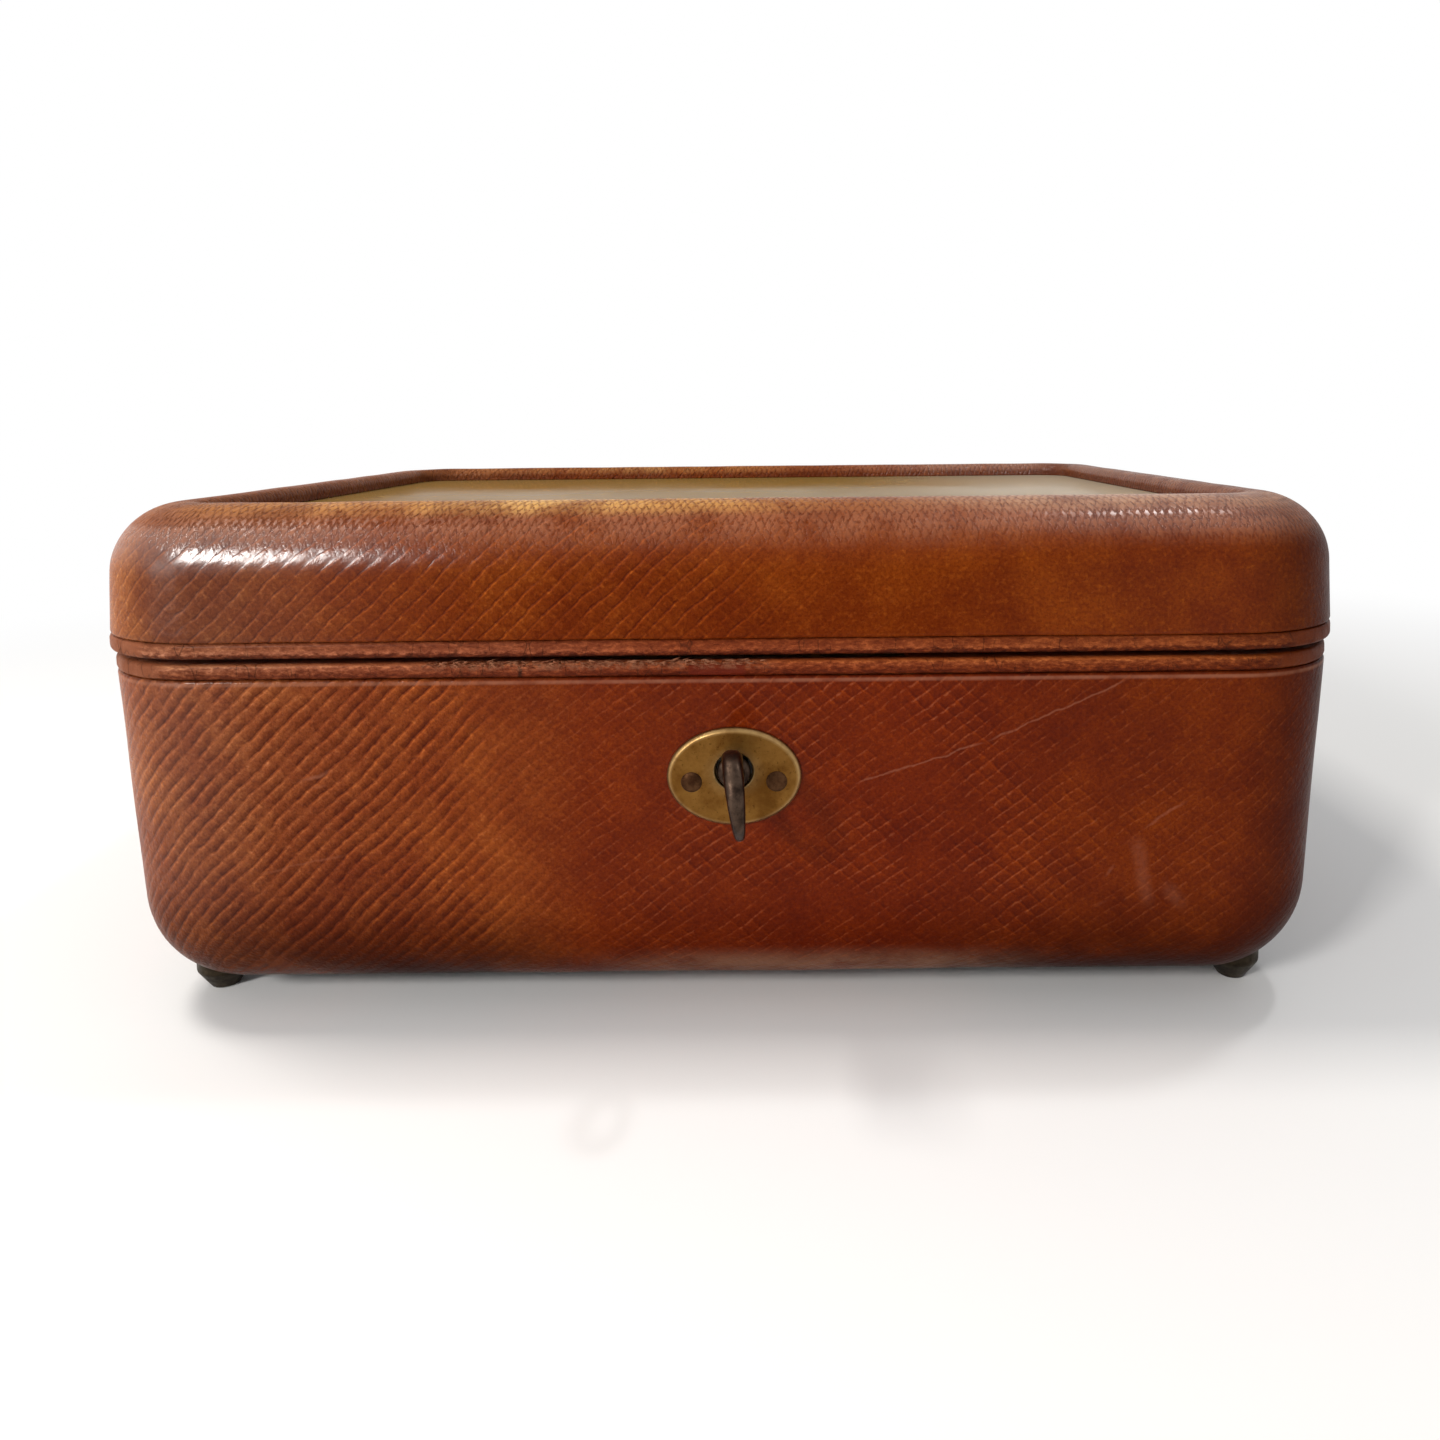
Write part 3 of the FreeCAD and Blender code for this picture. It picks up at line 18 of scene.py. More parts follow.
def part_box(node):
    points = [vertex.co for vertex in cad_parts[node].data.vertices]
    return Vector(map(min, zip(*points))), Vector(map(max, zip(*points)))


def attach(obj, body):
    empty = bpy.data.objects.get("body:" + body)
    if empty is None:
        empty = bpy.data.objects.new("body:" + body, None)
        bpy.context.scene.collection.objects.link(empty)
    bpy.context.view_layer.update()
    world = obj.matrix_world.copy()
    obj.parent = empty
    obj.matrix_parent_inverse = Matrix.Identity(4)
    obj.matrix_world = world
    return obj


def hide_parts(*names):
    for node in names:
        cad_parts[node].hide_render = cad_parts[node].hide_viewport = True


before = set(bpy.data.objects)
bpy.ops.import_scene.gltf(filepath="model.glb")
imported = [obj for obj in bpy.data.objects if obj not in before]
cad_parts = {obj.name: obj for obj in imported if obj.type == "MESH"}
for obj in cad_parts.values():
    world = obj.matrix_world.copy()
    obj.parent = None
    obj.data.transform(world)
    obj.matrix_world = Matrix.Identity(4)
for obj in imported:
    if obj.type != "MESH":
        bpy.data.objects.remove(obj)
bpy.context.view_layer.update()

MM = 0.001

# %% [markdown]
# ## Levels and outlines
# The case is made of rounded rectangles that all share the same corner centres. So one list of stations, each a
# point on the rectangle through those centres with its outward direction, serves the leather, the rim strips,
# the linings and the tray: a ring at radius r lies r outside that rectangle. The levels are read from the CAD
# nodes, so the dress follows the frame.

# %% Levels in millimetres
X, Y, Z = range(3)


def node_box(node):
    """A CAD node's lowest and highest corners."""
    return [np.array(corner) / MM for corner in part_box(node)]


def low(node, axis):
    return float(node_box(node)[0][axis])


def high(node, axis):
    return float(node_box(node)[1][axis])


BASE_RIM, LID_RIM = high("base_rim_cap", Z), low("lid_rim_cap", Z)
CREST, GLASS_TOP = high("lid_leather", Z), high("glass_pane", Z)
UNDERSIDE = low("base_leather", Z)
CORNER_X, CORNER_Y = 100.0, 65.0
BASE_RADIUS, LID_RADIUS = 26.1, 27.0
OPENING_RADIUS, HOLLOW_RADIUS = 9.0, 15.9
STRIP_HEIGHT, STRIP_LIP, STRIP_EDGE, LEATHER = 2.3, 0.8, 1.0, 1.2
SKIN_TOP = BASE_RIM - STRIP_HEIGHT - STRIP_LIP
LID_FOOT = LID_RIM + STRIP_HEIGHT + STRIP_LIP
BASE_LEAN, LID_LEAN = math.radians(2.8), math.radians(3.0)
BOTTOM_ROUND, LID_ROUND, CREST_ROUND = 22.0, 14.0, 2.4
LOCK_X, KEY_Z = 3.0, 54.4
print(f"base rim {BASE_RIM:.1f}, lid rim {LID_RIM:.1f}, crest {CREST:.1f}, glass {GLASS_TOP:.1f}")


# %% Stations round the case
def stations(step, corner_steps):
    """Points round the case from the middle of the back, by the left side: (x, y, out x, out y, distance)."""
    corners = [(-CORNER_X, CORNER_Y), (-CORNER_X, -CORNER_Y), (CORNER_X, -CORNER_Y), (CORNER_X, CORNER_Y)]
    path = [(0, CORNER_Y), *corners, (0, CORNER_Y)]
    rows, travelled = [], 0.0
    for number, (start, end) in enumerate(zip(path, path[1:])):
        length = math.dist(start, end)
        count = max(1, round(length / step))
        out = math.radians(90 * (number + 1))
        for k in range(count):
            share = k / count
            x, y = (a + (b - a) * share for a, b in zip(start, end))
            rows.append((x, y, math.cos(out), math.sin(out), travelled + length * share))
        travelled += length
        if number < len(corners):
            arc = LID_RADIUS * math.pi / 2
            for k in range(corner_steps):
                turn = out + math.pi / 2 * k / corner_steps
                rows.append((*end, math.cos(turn), math.sin(turn), travelled + arc * k / corner_steps))
            travelled += arc
    table = np.array(rows)
    table[:, 4] -= travelled / 2
    return table, travelled


ROUND_CASE, GIRTH = stations(step=1.6, corner_steps=22)
ROUND_INSIDE, _ = stations(step=5.0, corner_steps=10)
print(f"{len(ROUND_CASE)} stations, girth {GIRTH:.0f} mm")

# %% [markdown]
# ## Making meshes
# A skin that runs round the case is a grid: the stations one way, and a profile of (radius, height) points the
# other. Each profile is written as lines and arcs, as a drawing gives them. The grid also gets a map called
# hide, in metres along the skin, because the grain of the leather follows the surface and not the room.

# %% Profiles and rings
def run(start, end, count):
    """Points on a line from start towards end, without the end."""
    return [tuple(a + (b - a) * k / count for a, b in zip(start, end)) for k in range(count)]


def bow(centre, radius, first, last, count):
    """Points on an arc between two angles in degrees, without the last."""
    angles = np.radians(np.linspace(first, last, count, endpoint=False))
    return [(centre[0] + radius * math.cos(a), centre[1] + radius * math.sin(a)) for a in angles]


def ring_faces(rings, columns, closed=False, first=0):
    """Faces between rings of points that follow each other, from a first point on."""
    faces = []
    for i in range(rings if closed else rings - 1):
        here, below = first + i * columns, first + (i + 1) % rings * columns
        for j in range(columns):
            beside = (j + 1) % columns
            faces.append((here + j, below + j, below + beside, here + beside))
    return faces


# %% Pieces
def new_piece(name, points, faces, smooth=True, edges=()):
    """A mesh object from points in millimetres."""
    mesh = bpy.data.meshes.new(name)
    mesh.from_pydata((np.asarray(points, float) * MM).tolist(), edges, faces)
    mesh.polygons.foreach_set("use_smooth", [smooth] * len(mesh.polygons))
    piece = bpy.data.objects.new(name, mesh)
    bpy.context.scene.collection.objects.link(piece)
    return piece


def swept(name, profile, around, closed=False):
    """A skin round the case. A profile point is (radius, height) or (radius, height, share of the rectangle)."""
    rows = [(*p, 1.0)[:3] for p in profile]
    points = [(x * s + ox * r, y * s + oy * r, z) for r, z, s in rows for x, y, ox, oy, _ in around]
    columns, count = len(around), len(rows)
    piece = new_piece(name, points, ring_faces(count, columns, closed))
    steps = [math.dist(a[:2], b[:2]) for a, b in zip(rows, rows[1:])]
    along = np.concatenate([[0], np.cumsum(steps)])
    across = [*around[:, 4], -around[0, 4]]
    places = [
        (across[j + beside], -along[(i + below) % count])
        for i in range(count if closed else count - 1) for j in range(columns)
        for beside, below in ((0, 0), (0, 1), (1, 1), (1, 0))]
    piece.data.uv_layers.new(name="hide").data.foreach_set("uv", (np.array(places) * MM).ravel())
    return piece


def apply_modifiers(piece):
    graph = bpy.context.evaluated_depsgraph_get()
    mesh = bpy.data.meshes.new_from_object(piece.evaluated_get(graph))
    piece.modifiers.clear()
    piece.data = mesh
    return piece


@contextmanager
def editing(mesh):
    """Opens a mesh for editing and writes it back."""
    work = bmesh.new()
    work.from_mesh(mesh)
    yield work
    work.to_mesh(mesh)
    work.free()


def finish_piece(piece, material, slot, body, *nodes):
    """Gives a piece its finish and its body, and lets it stand for CAD nodes. The slot is not used."""
    piece.data.materials.clear()
    piece.data.materials.append(material)
    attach(piece, body)
    if nodes:
        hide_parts(*nodes)
    print(f"{piece.name}: {len(piece.data.polygons)} faces, on {body}, for {', '.join(nodes) or 'itself'}")
    return piece


# %% [markdown]
# ## Building finishes
# A finish is a small network of nodes that ends in one Principled shader. The helpers add a node and hand back its
# value, and a sum on values adds a Math node by itself. So a recipe reads as plain arithmetic.

# %% Values of a node tree
class Value:
    """A socket of a node tree. Sums on it add Math nodes."""

    def __init__(self, tree, socket):
        self.tree, self.socket = tree, socket

    def sum(self, operation, *others):
        return value(self.tree, "ShaderNodeMath", dict(enumerate((self, *others))), operation=operation)

    def __add__(self, other):
        return self.sum("ADD", other)

    def __sub__(self, other):
        return self.sum("SUBTRACT", other)

    def __rsub__(self, other):
        return value(self.tree, "ShaderNodeMath", {0: other, 1: self}, operation="SUBTRACT")

    def __mul__(self, other):
        return self.sum("MULTIPLY", other)

    def __truediv__(self, other):
        return self.sum("DIVIDE", other)

    def __abs__(self):
        return self.sum("ABSOLUTE")


def feed(tree, socket, source):
    """Links a value to a socket, or sets the socket."""
    if isinstance(source, Value):
        tree.links.new(source.socket, socket)
    else:
        socket.default_value = source


def add(tree, kind, inputs, **settings):
    """Adds a node with its settings and inputs."""
    made = tree.nodes.new(kind)
    for name, setting in settings.items():
        setattr(made, name, setting)
    for socket, source in inputs.items():
        feed(tree, made.inputs[socket], source)
    return made


def value(tree, kind, inputs, output=0, **settings):
    """Adds a node and hands back one of its outputs."""
    return Value(tree, add(tree, kind, inputs, **settings).outputs[output])


# %% Recipes for finishes
MIX_SHARE, MIX_FIRST, MIX_SECOND, MIX_RESULT = 0, 6, 7, 2
CASE_SPAN = 260.0


class Recipe:
    """A material's node tree, with patterns as short calls. Places, sizes and heights are in millimetres."""

    def __init__(self, name, **shine):
        self.material = bpy.data.materials.new(name)
        self.material.use_nodes = True
        self.tree = self.material.node_tree
        self.surface = self.tree.nodes["Principled BSDF"]
        for socket, setting in shine.items():
            self.surface.inputs[socket.replace("_", " ")].default_value = setting

    def value(self, kind, inputs, output=0, **settings):
        return value(self.tree, kind, inputs, output, **settings)

    def scaled(self, metres):
        return self.value("ShaderNodeVectorMath", {0: metres, "Scale": 1 / MM}, operation="SCALE")

    def object_place(self):
        return self.scaled(self.value("ShaderNodeTexCoord", {}, "Object"))

    def hide_place(self):
        """Place on the skin's own map."""
        return self.scaled(self.value("ShaderNodeUVMap", {}, "UV", uv_map="hide"))

    def stretched(self, place, *scale):
        return self.value("ShaderNodeMapping", {"Vector": place, "Scale": scale})

    def split(self, place):
        outputs = add(self.tree, "ShaderNodeSeparateXYZ", {"Vector": place}).outputs
        return [Value(self.tree, socket) for socket in outputs]

    def noise(self, place, size, detail=3.0, roughness=0.55):
        """A cloudy pattern from 0 to 1, with features of about a size."""
        inputs = {"Vector": place, "Scale": 1 / size, "Detail": detail, "Roughness": roughness}
        return self.value("ShaderNodeTexNoise", inputs)

    def cells(self, place, size, feature="F1"):
        return self.value("ShaderNodeTexVoronoi", {"Vector": place, "Scale": 1 / size}, "Distance", feature=feature)

    def ease(self, source, start, end, first=0.0, last=1.0):
        """Goes smoothly from first to last while the source goes from start up to end."""
        inputs = {"Value": source, "From Min": start, "From Max": end, "To Min": first, "To Max": last}
        return self.value("ShaderNodeMapRange", inputs, interpolation_type="SMOOTHSTEP")

    def band(self, source, start, full, hold, end):
        """Rises from 0 at start to 1 at full, and falls from hold to 0 at end."""
        return self.ease(source, start, full) * self.ease(source, hold, end, 1.0, 0.0)

    def mix(self, share, first, second, mode="MIX"):
        made = add(self.tree, "ShaderNodeMix", {}, data_type="RGBA", blend_type=mode)
        for socket, source in ((MIX_SHARE, share), (MIX_FIRST, first), (MIX_SECOND, second)):
            feed(self.tree, made.inputs[socket], (*source, 1.0) if isinstance(source, tuple) else source)
        return Value(self.tree, made.outputs[MIX_RESULT])

    def tint(self, share, colour, factor):
        """Multiplies a colour by a factor, by a share."""
        return self.mix(share, colour, self.mix(1.0, colour, factor, "MULTIPLY"))

    def shaded(self, share, colour, shade):
        """Multiplies a colour by twice a shade, by a share, so that a shade of a half changes nothing."""
        return self.tint(share, colour, self.mix(1.0, shade, (2.0, 2.0, 2.0), "MULTIPLY"))

    def ramp(self, source, *stops):
        """A colour for each value of the source between 0 and 1, from (place, colour) stops."""
        made = add(self.tree, "ShaderNodeValToRGB", {"Fac": source})
        made.color_ramp.interpolation = "EASE"
        elements = made.color_ramp.elements
        while len(elements) < len(stops):
            elements.new(0.5)
        for element, (place, colour) in zip(elements, stops):
            element.position = place
            element.color = (*colour, 1.0)
        return Value(self.tree, made.outputs[0])

    def across_case(self, x, stops, span=CASE_SPAN):
        """A colour for each place across the case, from stops between 0 at the left and 1 at the right."""
        return self.ramp(x * (1 / span) + 0.5, *stops)

    def bumped(self, height):
        """Surface directions for a height."""
        return self.value("ShaderNodeBump", {"Height": height, "Distance": MM})

    def done(self, colour, roughness=None, height=None, polish=None):
        """Links the recipe to the shader. Polish is the height of the coat."""
        feed(self.tree, self.surface.inputs["Base Color"], colour)
        if roughness is not None:
            feed(self.tree, self.surface.inputs["Roughness"], roughness)
        if height is not None:
            feed(self.tree, self.surface.inputs["Normal"], self.bumped(height))
        if polish is not None:
            feed(self.tree, self.surface.inputs["Coat Normal"], self.bumped(polish))
        print("finish:", self.material.name)
        return self.material


# %% [markdown]
# ## The leather
# Straight-grain leather is rolled by hand until its surface stands in narrow parallel ridges. On this case the
# ridges run up to the right. They are broad and deep on the left, and towards the right they fade into a fine
# lattice. The grain could be carved into the mesh, but at two and a half millimetres a ridge that takes millions
# of faces, so it is a pattern on the skin's own map. A ridge isn't a plain wave: it rises slowly, its upper left
# slope is painted pale as a highlight from the light at the upper left, and it drops into a groove painted dark
# as shade. So the pattern is the place across a ridge, from nought to one, and two ramps over it give the height
# and the painted light and shade. The lattice lines get painted highlights and shade the same way. Polish lies
# on top as a thin coat.

# %% Ridges and lattice
# Shades across a ridge or lattice line: painted shade in the groove and a painted highlight on the upper left slope.
BROAD_RIDGE_LIGHT_SHADE = [
    (0.0, (0.20, 0.15, 0.11)), (0.16, (0.31, 0.26, 0.21)), (0.45, (0.47, 0.46, 0.44)), (0.68, (0.66, 0.70, 0.74)),
    (0.80, (0.80, 0.90, 1.0)), (0.90, (0.52, 0.47, 0.42)), (1.0, (0.20, 0.15, 0.11))]
THIN_RIDGE_LIGHT_SHADE = [
    (0.0, (0.26, 0.21, 0.17)), (0.10, (0.45, 0.44, 0.43)), (0.50, (0.50, 0.50, 0.50)), (0.74, (0.53, 0.54, 0.55)),
    (0.85, (0.82, 0.92, 1.0)), (0.92, (0.46, 0.43, 0.40)), (1.0, (0.26, 0.21, 0.17))]
LATTICE_LIGHT_SHADE = [
    (0.0, (0.30, 0.25, 0.21)), (0.14, (0.44, 0.42, 0.40)), (0.55, (0.50, 0.50, 0.50)), (0.74, (0.60, 0.66, 0.74)),
    (0.84, (0.80, 0.95, 1.0)), (0.93, (0.50, 0.47, 0.44)), (1.0, (0.30, 0.25, 0.21))]
RIDGE_RISE = [(place, (rise,) * 3) for place, rise in ((0.0, 0.0), (0.45, 0.7), (0.72, 1.0), (0.86, 0.8), (1.0, 0.0))]
LATTICE_UP, LATTICE_DOWN = (37.0, 2.42, 0.45), (-43.0, 2.75, 0.45)


def across_ridges(u, v, bend, angle, spacing, sway):
    """Place across parallel ridges that climb at an angle, from 0 at a groove to 1 at the next."""
    lean = math.radians(angle)
    across = v * math.cos(lean) - u * math.sin(lean)
    return ((across + bend * sway) / spacing).sum("FRACT")


class Leather(Recipe):
    """Leather from tones across the case, which hold painted light too, ridges (fade in x, angle, spacing, painted
    shades, height), lattice and freckles.
    """

    def __init__(self, name, tones_and_light, ridge, lattice, freckled):
        super().__init__(name, Specular_IOR_Level=0.015, Coat_IOR=2.0, Coat_Roughness=0.23)
        ridge_fade, slope, pitch, shades, rise = ridge
        self.place, skin = self.object_place(), self.hide_place()
        self.x, self.y, self.z = self.split(self.place)
        self.u, self.v, _ = self.split(skin)
        self.wobble = self.noise(skin, 4.5)
        self.mottle = self.noise(self.place, 24.0, 6.0, 0.62)
        self.freckle = self.noise(skin, 1.2, 4.0, 0.65)
        self.blotch = self.noise(self.place, 9.0, 5.0, 0.62)
        grain = self.noise(skin, 0.7, 3.0, 0.65)
        bend = self.noise(skin, 30.0, 2.0) * 7.0 + self.wobble * 1.9 + self.noise(skin, 1.6, 2.0)

        shift = self.x + (self.noise(self.place, 34.0) - 0.5) * 70.0
        ridged = self.ease(shift, *ridge_fade, 1.0, 0.0) * self.ease(self.x, -121.0, -106.0, 0.3, 1.0)
        ridged = ridged * self.ease(self.z, UNDERSIDE + 4.0, UNDERSIDE + 20.0, 0.25, 1.0)
        ridges = ridged * self.ease(self.noise(skin, 5.0, 4.0, 0.7), 0.32, 0.6, 0.12, 1.0)
        patchy = self.ease(self.noise(self.place, 20.0, 5.0, 0.68), 0.38, 0.60, 0.1, 1.0)
        net = (1.0 - ridged) * (patchy * lattice)
        net = net * self.ease(self.x, 50.0, 100.0, 1.0, 0.4) * self.ease(self.x, -40.0, 10.0, 0.3, 1.0)
        across = across_ridges(self.u, self.v, bend, slope, pitch, 0.5)
        climbing = across_ridges(self.u, self.v, bend, *LATTICE_UP)
        falling = across_ridges(self.u, self.v, bend, *LATTICE_DOWN)

        # Tones across the case: the leather's own tone, with painted light bright at the left end and painted shade at
        # the right end.
        tone = self.across_case(self.x, tones_and_light)
        colour = self.tint(self.ease(self.mottle, 0.33, 0.66, 0.0, 0.7), tone, (0.66, 0.48, 0.44))
        blotches = self.mix(self.ease(self.blotch, 0.36, 0.64), (0.88, 0.80, 0.78), (1.08, 1.13, 1.16))
        colour = self.mix(1.0, colour, blotches, "MULTIPLY")
        colour = self.tint(self.ease(self.freckle, 0.5, 0.72, 0.0, freckled), colour, (1.6, 2.1, 2.8))
        colour = self.tint(self.ease(grain, 0.35, 0.6, 0.55, 0.0), colour, (0.55, 0.45, 0.4))
        # Painted light and shade across the ridges and the lattice lines.
        colour = self.shaded(ridges, colour, self.ramp(across, *shades))
        lines = net * self.ease(self.freckle, 0.35, 0.6, 0.35, 0.8)
        colour = self.shaded(lines, colour, self.ramp(climbing, *LATTICE_LIGHT_SHADE))
        notched = net * self.ease(self.wobble, 0.38, 0.6, 0.2, 0.7) + ridges * 0.3
        colour = self.shaded(notched, colour, self.ramp(falling, *LATTICE_LIGHT_SHADE))
        # Thin pale painted highlight lines along the climbing lattice.
        pale = self.band(climbing, 0.70, 0.83, 0.85, 0.93) * net * self.ease(self.freckle, 0.4, 0.6, 0.0, 0.28)
        self.colour = self.mix(pale, colour, (0.32, 0.11, 0.05))

        diamonds = self.ramp(climbing, *RIDGE_RISE) + self.ramp(falling, *RIDGE_RISE) * 0.6
        height = self.ramp(across, *RIDGE_RISE) * ridges * rise
        height = height + diamonds * (ridged * 0.3).sum("MAXIMUM", net) * 0.09
        self.polish = height * 0.22 + self.noise(self.place, 9.0, 2.0) * 0.3
        self.height = height + self.freckle * 0.16 + grain * 0.03 + self.mottle * 0.5

    def polished(self, gloss):
        """Ends the recipe with a gloss, which is weak on the right-hand side of the case."""
        gloss = gloss * self.ease(self.x, 98.0, 120.0, 1.0, 0.1)
        feed(self.tree, self.surface.inputs["Coat Weight"], gloss)
        rough = self.ease(self.mottle, 0.25, 0.75, 0.24, 0.40)
        return self.done(self.colour, rough, self.height, self.polish)


# %% [markdown]
# The base has been handled and set down for years: scratches across its front, a bare patch in the foot below the
# lock and a pale cut edge below the strip. The rounded foot is darkened with painted shade towards the bottom. The
# scratches are lines in the front view, each made of a distance from a line that wobbles.

# %% Leather of the base
# The leather's own tones with painted light: bright at the left end, painted shade darkening the right end.
BASE_TONES_AND_LIGHT = [
    (0.02, (0.30, 0.075, 0.013)), (0.09, (0.235, 0.066, 0.018)), (0.32, (0.222, 0.045, 0.006)),
    (0.42, (0.148, 0.018, 0.0011)), (0.62, (0.150, 0.016, 0.0006)), (0.86, (0.152, 0.021, 0.0005)),
    (0.98, (0.068, 0.009, 0.0004))]
BASE_RIDGES = ((-64.0, -22.0), 44.0, 2.44, BROAD_RIDGE_LIGHT_SHADE, 0.34)
SCRATCHES = [
    ((25.4, 50.9), (52.0, 59.5), 0.32, 0.42), ((51.0, 59.2), (79.0, 71.6), 0.32, 0.42),
    ((75.0, 31.0), (77.5, 34.5), 0.5, 0.8), ((73.5, 25.0), (76.5, 27.0), 0.45, 0.7),
    ((-82.0, 52.3), (-74.0, 55.0), 0.6, 0.5), ((-80.0, 51.0), (-75.0, 52.2), 0.5, 0.4),
    ((-91.0, 33.5), (-72.0, 38.0), 0.4, 0.3), ((-64.0, 13.0), (-55.0, 15.0), 0.6, 0.5),
    ((80.9, 41.0), (84.3, 24.0), 2.2, 0.2), ((86.2, 31.0), (92.1, 24.0), 2.2, 0.2),
    ((82.0, 41.0), (91.5, 47.6), 0.5, 0.3)]
SCRATCH_TAPER = 4.0


def scratched(r):
    """How strongly each place is scratched, from lines of (start, end, width, strength)."""
    worn = None
    for (x0, z0), (x1, z1), width, strength in SCRATCHES:
        length = math.dist((x0, z0), (x1, z1))
        cosine, sine = (x1 - x0) / length, (z1 - z0) / length
        dx, dz = r.x - x0, r.z - z0
        off = dz * cosine - dx * sine + (r.wobble - 0.5) * 1.6
        line = r.ease(abs(off), 0.0, width, strength, 0.0)
        ends = r.band(dx * cosine + dz * sine, 0.0, SCRATCH_TAPER, length - SCRATCH_TAPER, length)
        mark = line * ends * r.ease(r.freckle, 0.3, 0.5, 0.45, 1.0)
        worn = worn.sum("MAXIMUM", mark) if worn else mark
    return worn


def base_leather():
    r = Leather("base leather", BASE_TONES_AND_LIGHT, BASE_RIDGES, lattice=1.0, freckled=0.5)
    x, y, z, colour = r.x, r.y, r.z, r.colour
    worn = scratched(r) * r.ease(y, -88.0, -84.0, 1.0, 0.0)
    colour = r.mix(worn, colour, (0.30, 0.105, 0.055))
    r.height = r.height - worn * 0.12
    aside = r.ease(abs(x - 6.0), 12.0, 55.0, 0.35, 1.0)
    # Painted shade: the foot darkens in patches towards the bottom, less so in the middle.
    painted_bottom_shade = r.ease(z, UNDERSIDE - 2.0, UNDERSIDE + 32.0, 1.0, 0.0) * aside * r.ease(r.mottle, 0.3, 0.55, 0.6, 1.0)
    colour = r.mix(painted_bottom_shade * 0.97, colour, (0.014, 0.002, 0.0005))
    bare = r.band(x, -35.0, 5.0, 35.0, 72.0) * r.ease(z, UNDERSIDE + 7.0, UNDERSIDE + 13.5, 0.6, 0.0)
    bare = bare * r.ease(r.blotch, 0.35, 0.6, 0.45, 1.0) * r.ease(y, -72.0, -66.0, 1.0, 0.0)
    colour = r.mix(bare, colour, (0.24, 0.125, 0.075))
    cut_edge = r.band(z, SKIN_TOP - 1.5, SKIN_TOP - 0.9, SKIN_TOP - 0.7, SKIN_TOP - 0.4)
    colour = r.mix(cut_edge * r.ease(r.wobble, 0.3, 0.6, 0.25, 0.5), colour, (0.32, 0.13, 0.075))
    # Painted shade in the groove just below the strip's lip.
    colour = r.mix(r.ease(z, SKIN_TOP - 0.45, SKIN_TOP - 0.2, 0.0, 0.4), colour, (0.03, 0.004, 0.001))
    foot = r.ease(x, -72.0, -36.0, 1.0, 0.0) * r.ease(z, UNDERSIDE + 14.0, UNDERSIDE + 54.0, 1.0, 0.0)
    r.colour = r.tint(foot, colour, (0.76, 0.62, 0.50))
    return r.polished(r.ease(x, -108.0, -84.0, 0.15, 0.04) * r.ease(z, UNDERSIDE + 8.0, UNDERSIDE + 30.0, 0.1, 1.0))


BASE_LEATHER = base_leather()

# %% [markdown]
# On the lid's crest the leather is rubbed, with a painted golden highlight left of the middle and a pale brown
# one at the right, and a pinkish painted sheen lies on the shoulder below. Its grain shows as small scales, which
# are a weave of two slanting waves. The lid is most polished on its shoulders, at the left and at the right, where
# hands lift it.

# %% Leather of the lid
# The leather's own tones with painted light: bright at the left end, painted shade darkening the right end.
LID_TONES_AND_LIGHT = [
    (0.02, (0.34, 0.098, 0.018)), (0.10, (0.150, 0.038, 0.009)), (0.28, (0.175, 0.032, 0.003)),
    (0.50, (0.183, 0.032, 0.0025)), (0.86, (0.172, 0.029, 0.0012)), (0.98, (0.072, 0.011, 0.0005))]
# Colours of the rubbed crest with its painted highlight: golden left of the middle, pale brown at the right.
CREST_WEAR_AND_HIGHLIGHT = [
    (0.05, (0.30, 0.10, 0.03)), (0.24, (0.50, 0.22, 0.06)), (0.36, (0.66, 0.36, 0.11)), (0.48, (0.55, 0.26, 0.07)),
    (0.60, (0.30, 0.10, 0.03)), (0.76, (0.44, 0.23, 0.13)), (0.92, (0.40, 0.19, 0.10))]
LID_RIDGES = ((-15.0, 45.0), 44.0, 2.72, THIN_RIDGE_LIGHT_SHADE, 0.16)
SCALE_WIDTH, SCALE_SLANT = 0.8, 0.36


def lid_leather():
    r = Leather("lid leather", LID_TONES_AND_LIGHT, LID_RIDGES, lattice=0.14, freckled=0.7)
    x, z = r.x, r.z
    slant = r.v * SCALE_SLANT
    sway = r.wobble * 2.2 + (r.freckle * 1.3 + r.u)
    rising, sinking = (way.sum("PINGPONG", SCALE_WIDTH) for way in (sway + slant, sway - slant))
    scales = r.ease(rising.sum("MINIMUM", sinking), 0.0, 0.42, r.ease(r.freckle, 0.35, 0.6, 0.15, 0.7), 1.0)
    rubbed = r.ease(r.noise(r.place, 8.0, 4.0), 0.32, 0.6, 0.35, 1.0) * r.ease(r.y, -74.0, -64.0, 1.0, 0.35) * scales
    shoulder = r.ease(z, CREST - 10.0, CREST - 3.5)
    # Painted sheen: a pinkish band on the shoulder. Painted highlight: the crest's colour over the rubbed scales.
    colour = r.mix(rubbed * (shoulder * 0.6), r.colour, (0.34, 0.130, 0.066))
    r.colour = r.mix(rubbed * r.ease(z, CREST - 3.2, CREST - 0.4), colour, r.across_case(x, CREST_WEAR_AND_HIGHLIGHT))
    raised = scales * shoulder * 0.22
    r.height, r.polish = r.height + raised, r.polish + raised
    left = r.ease(x, -100.0, -38.0, 0.6, 0.06) * r.ease(z, CREST - 14.0, CREST - 7.0, 0.2, 1.0)
    left = left * r.ease(z, CREST - 5.5, CREST - 3.0, 1.0, 0.06)
    right = r.ease(x, 20.0, 90.0, 0.03, 0.34) * r.ease(z, CREST - 8.0, CREST - 4.0, 0.15, 1.0)
    return r.polished(left.sum("MAXIMUM", right))


LID_LEATHER = lid_leather()

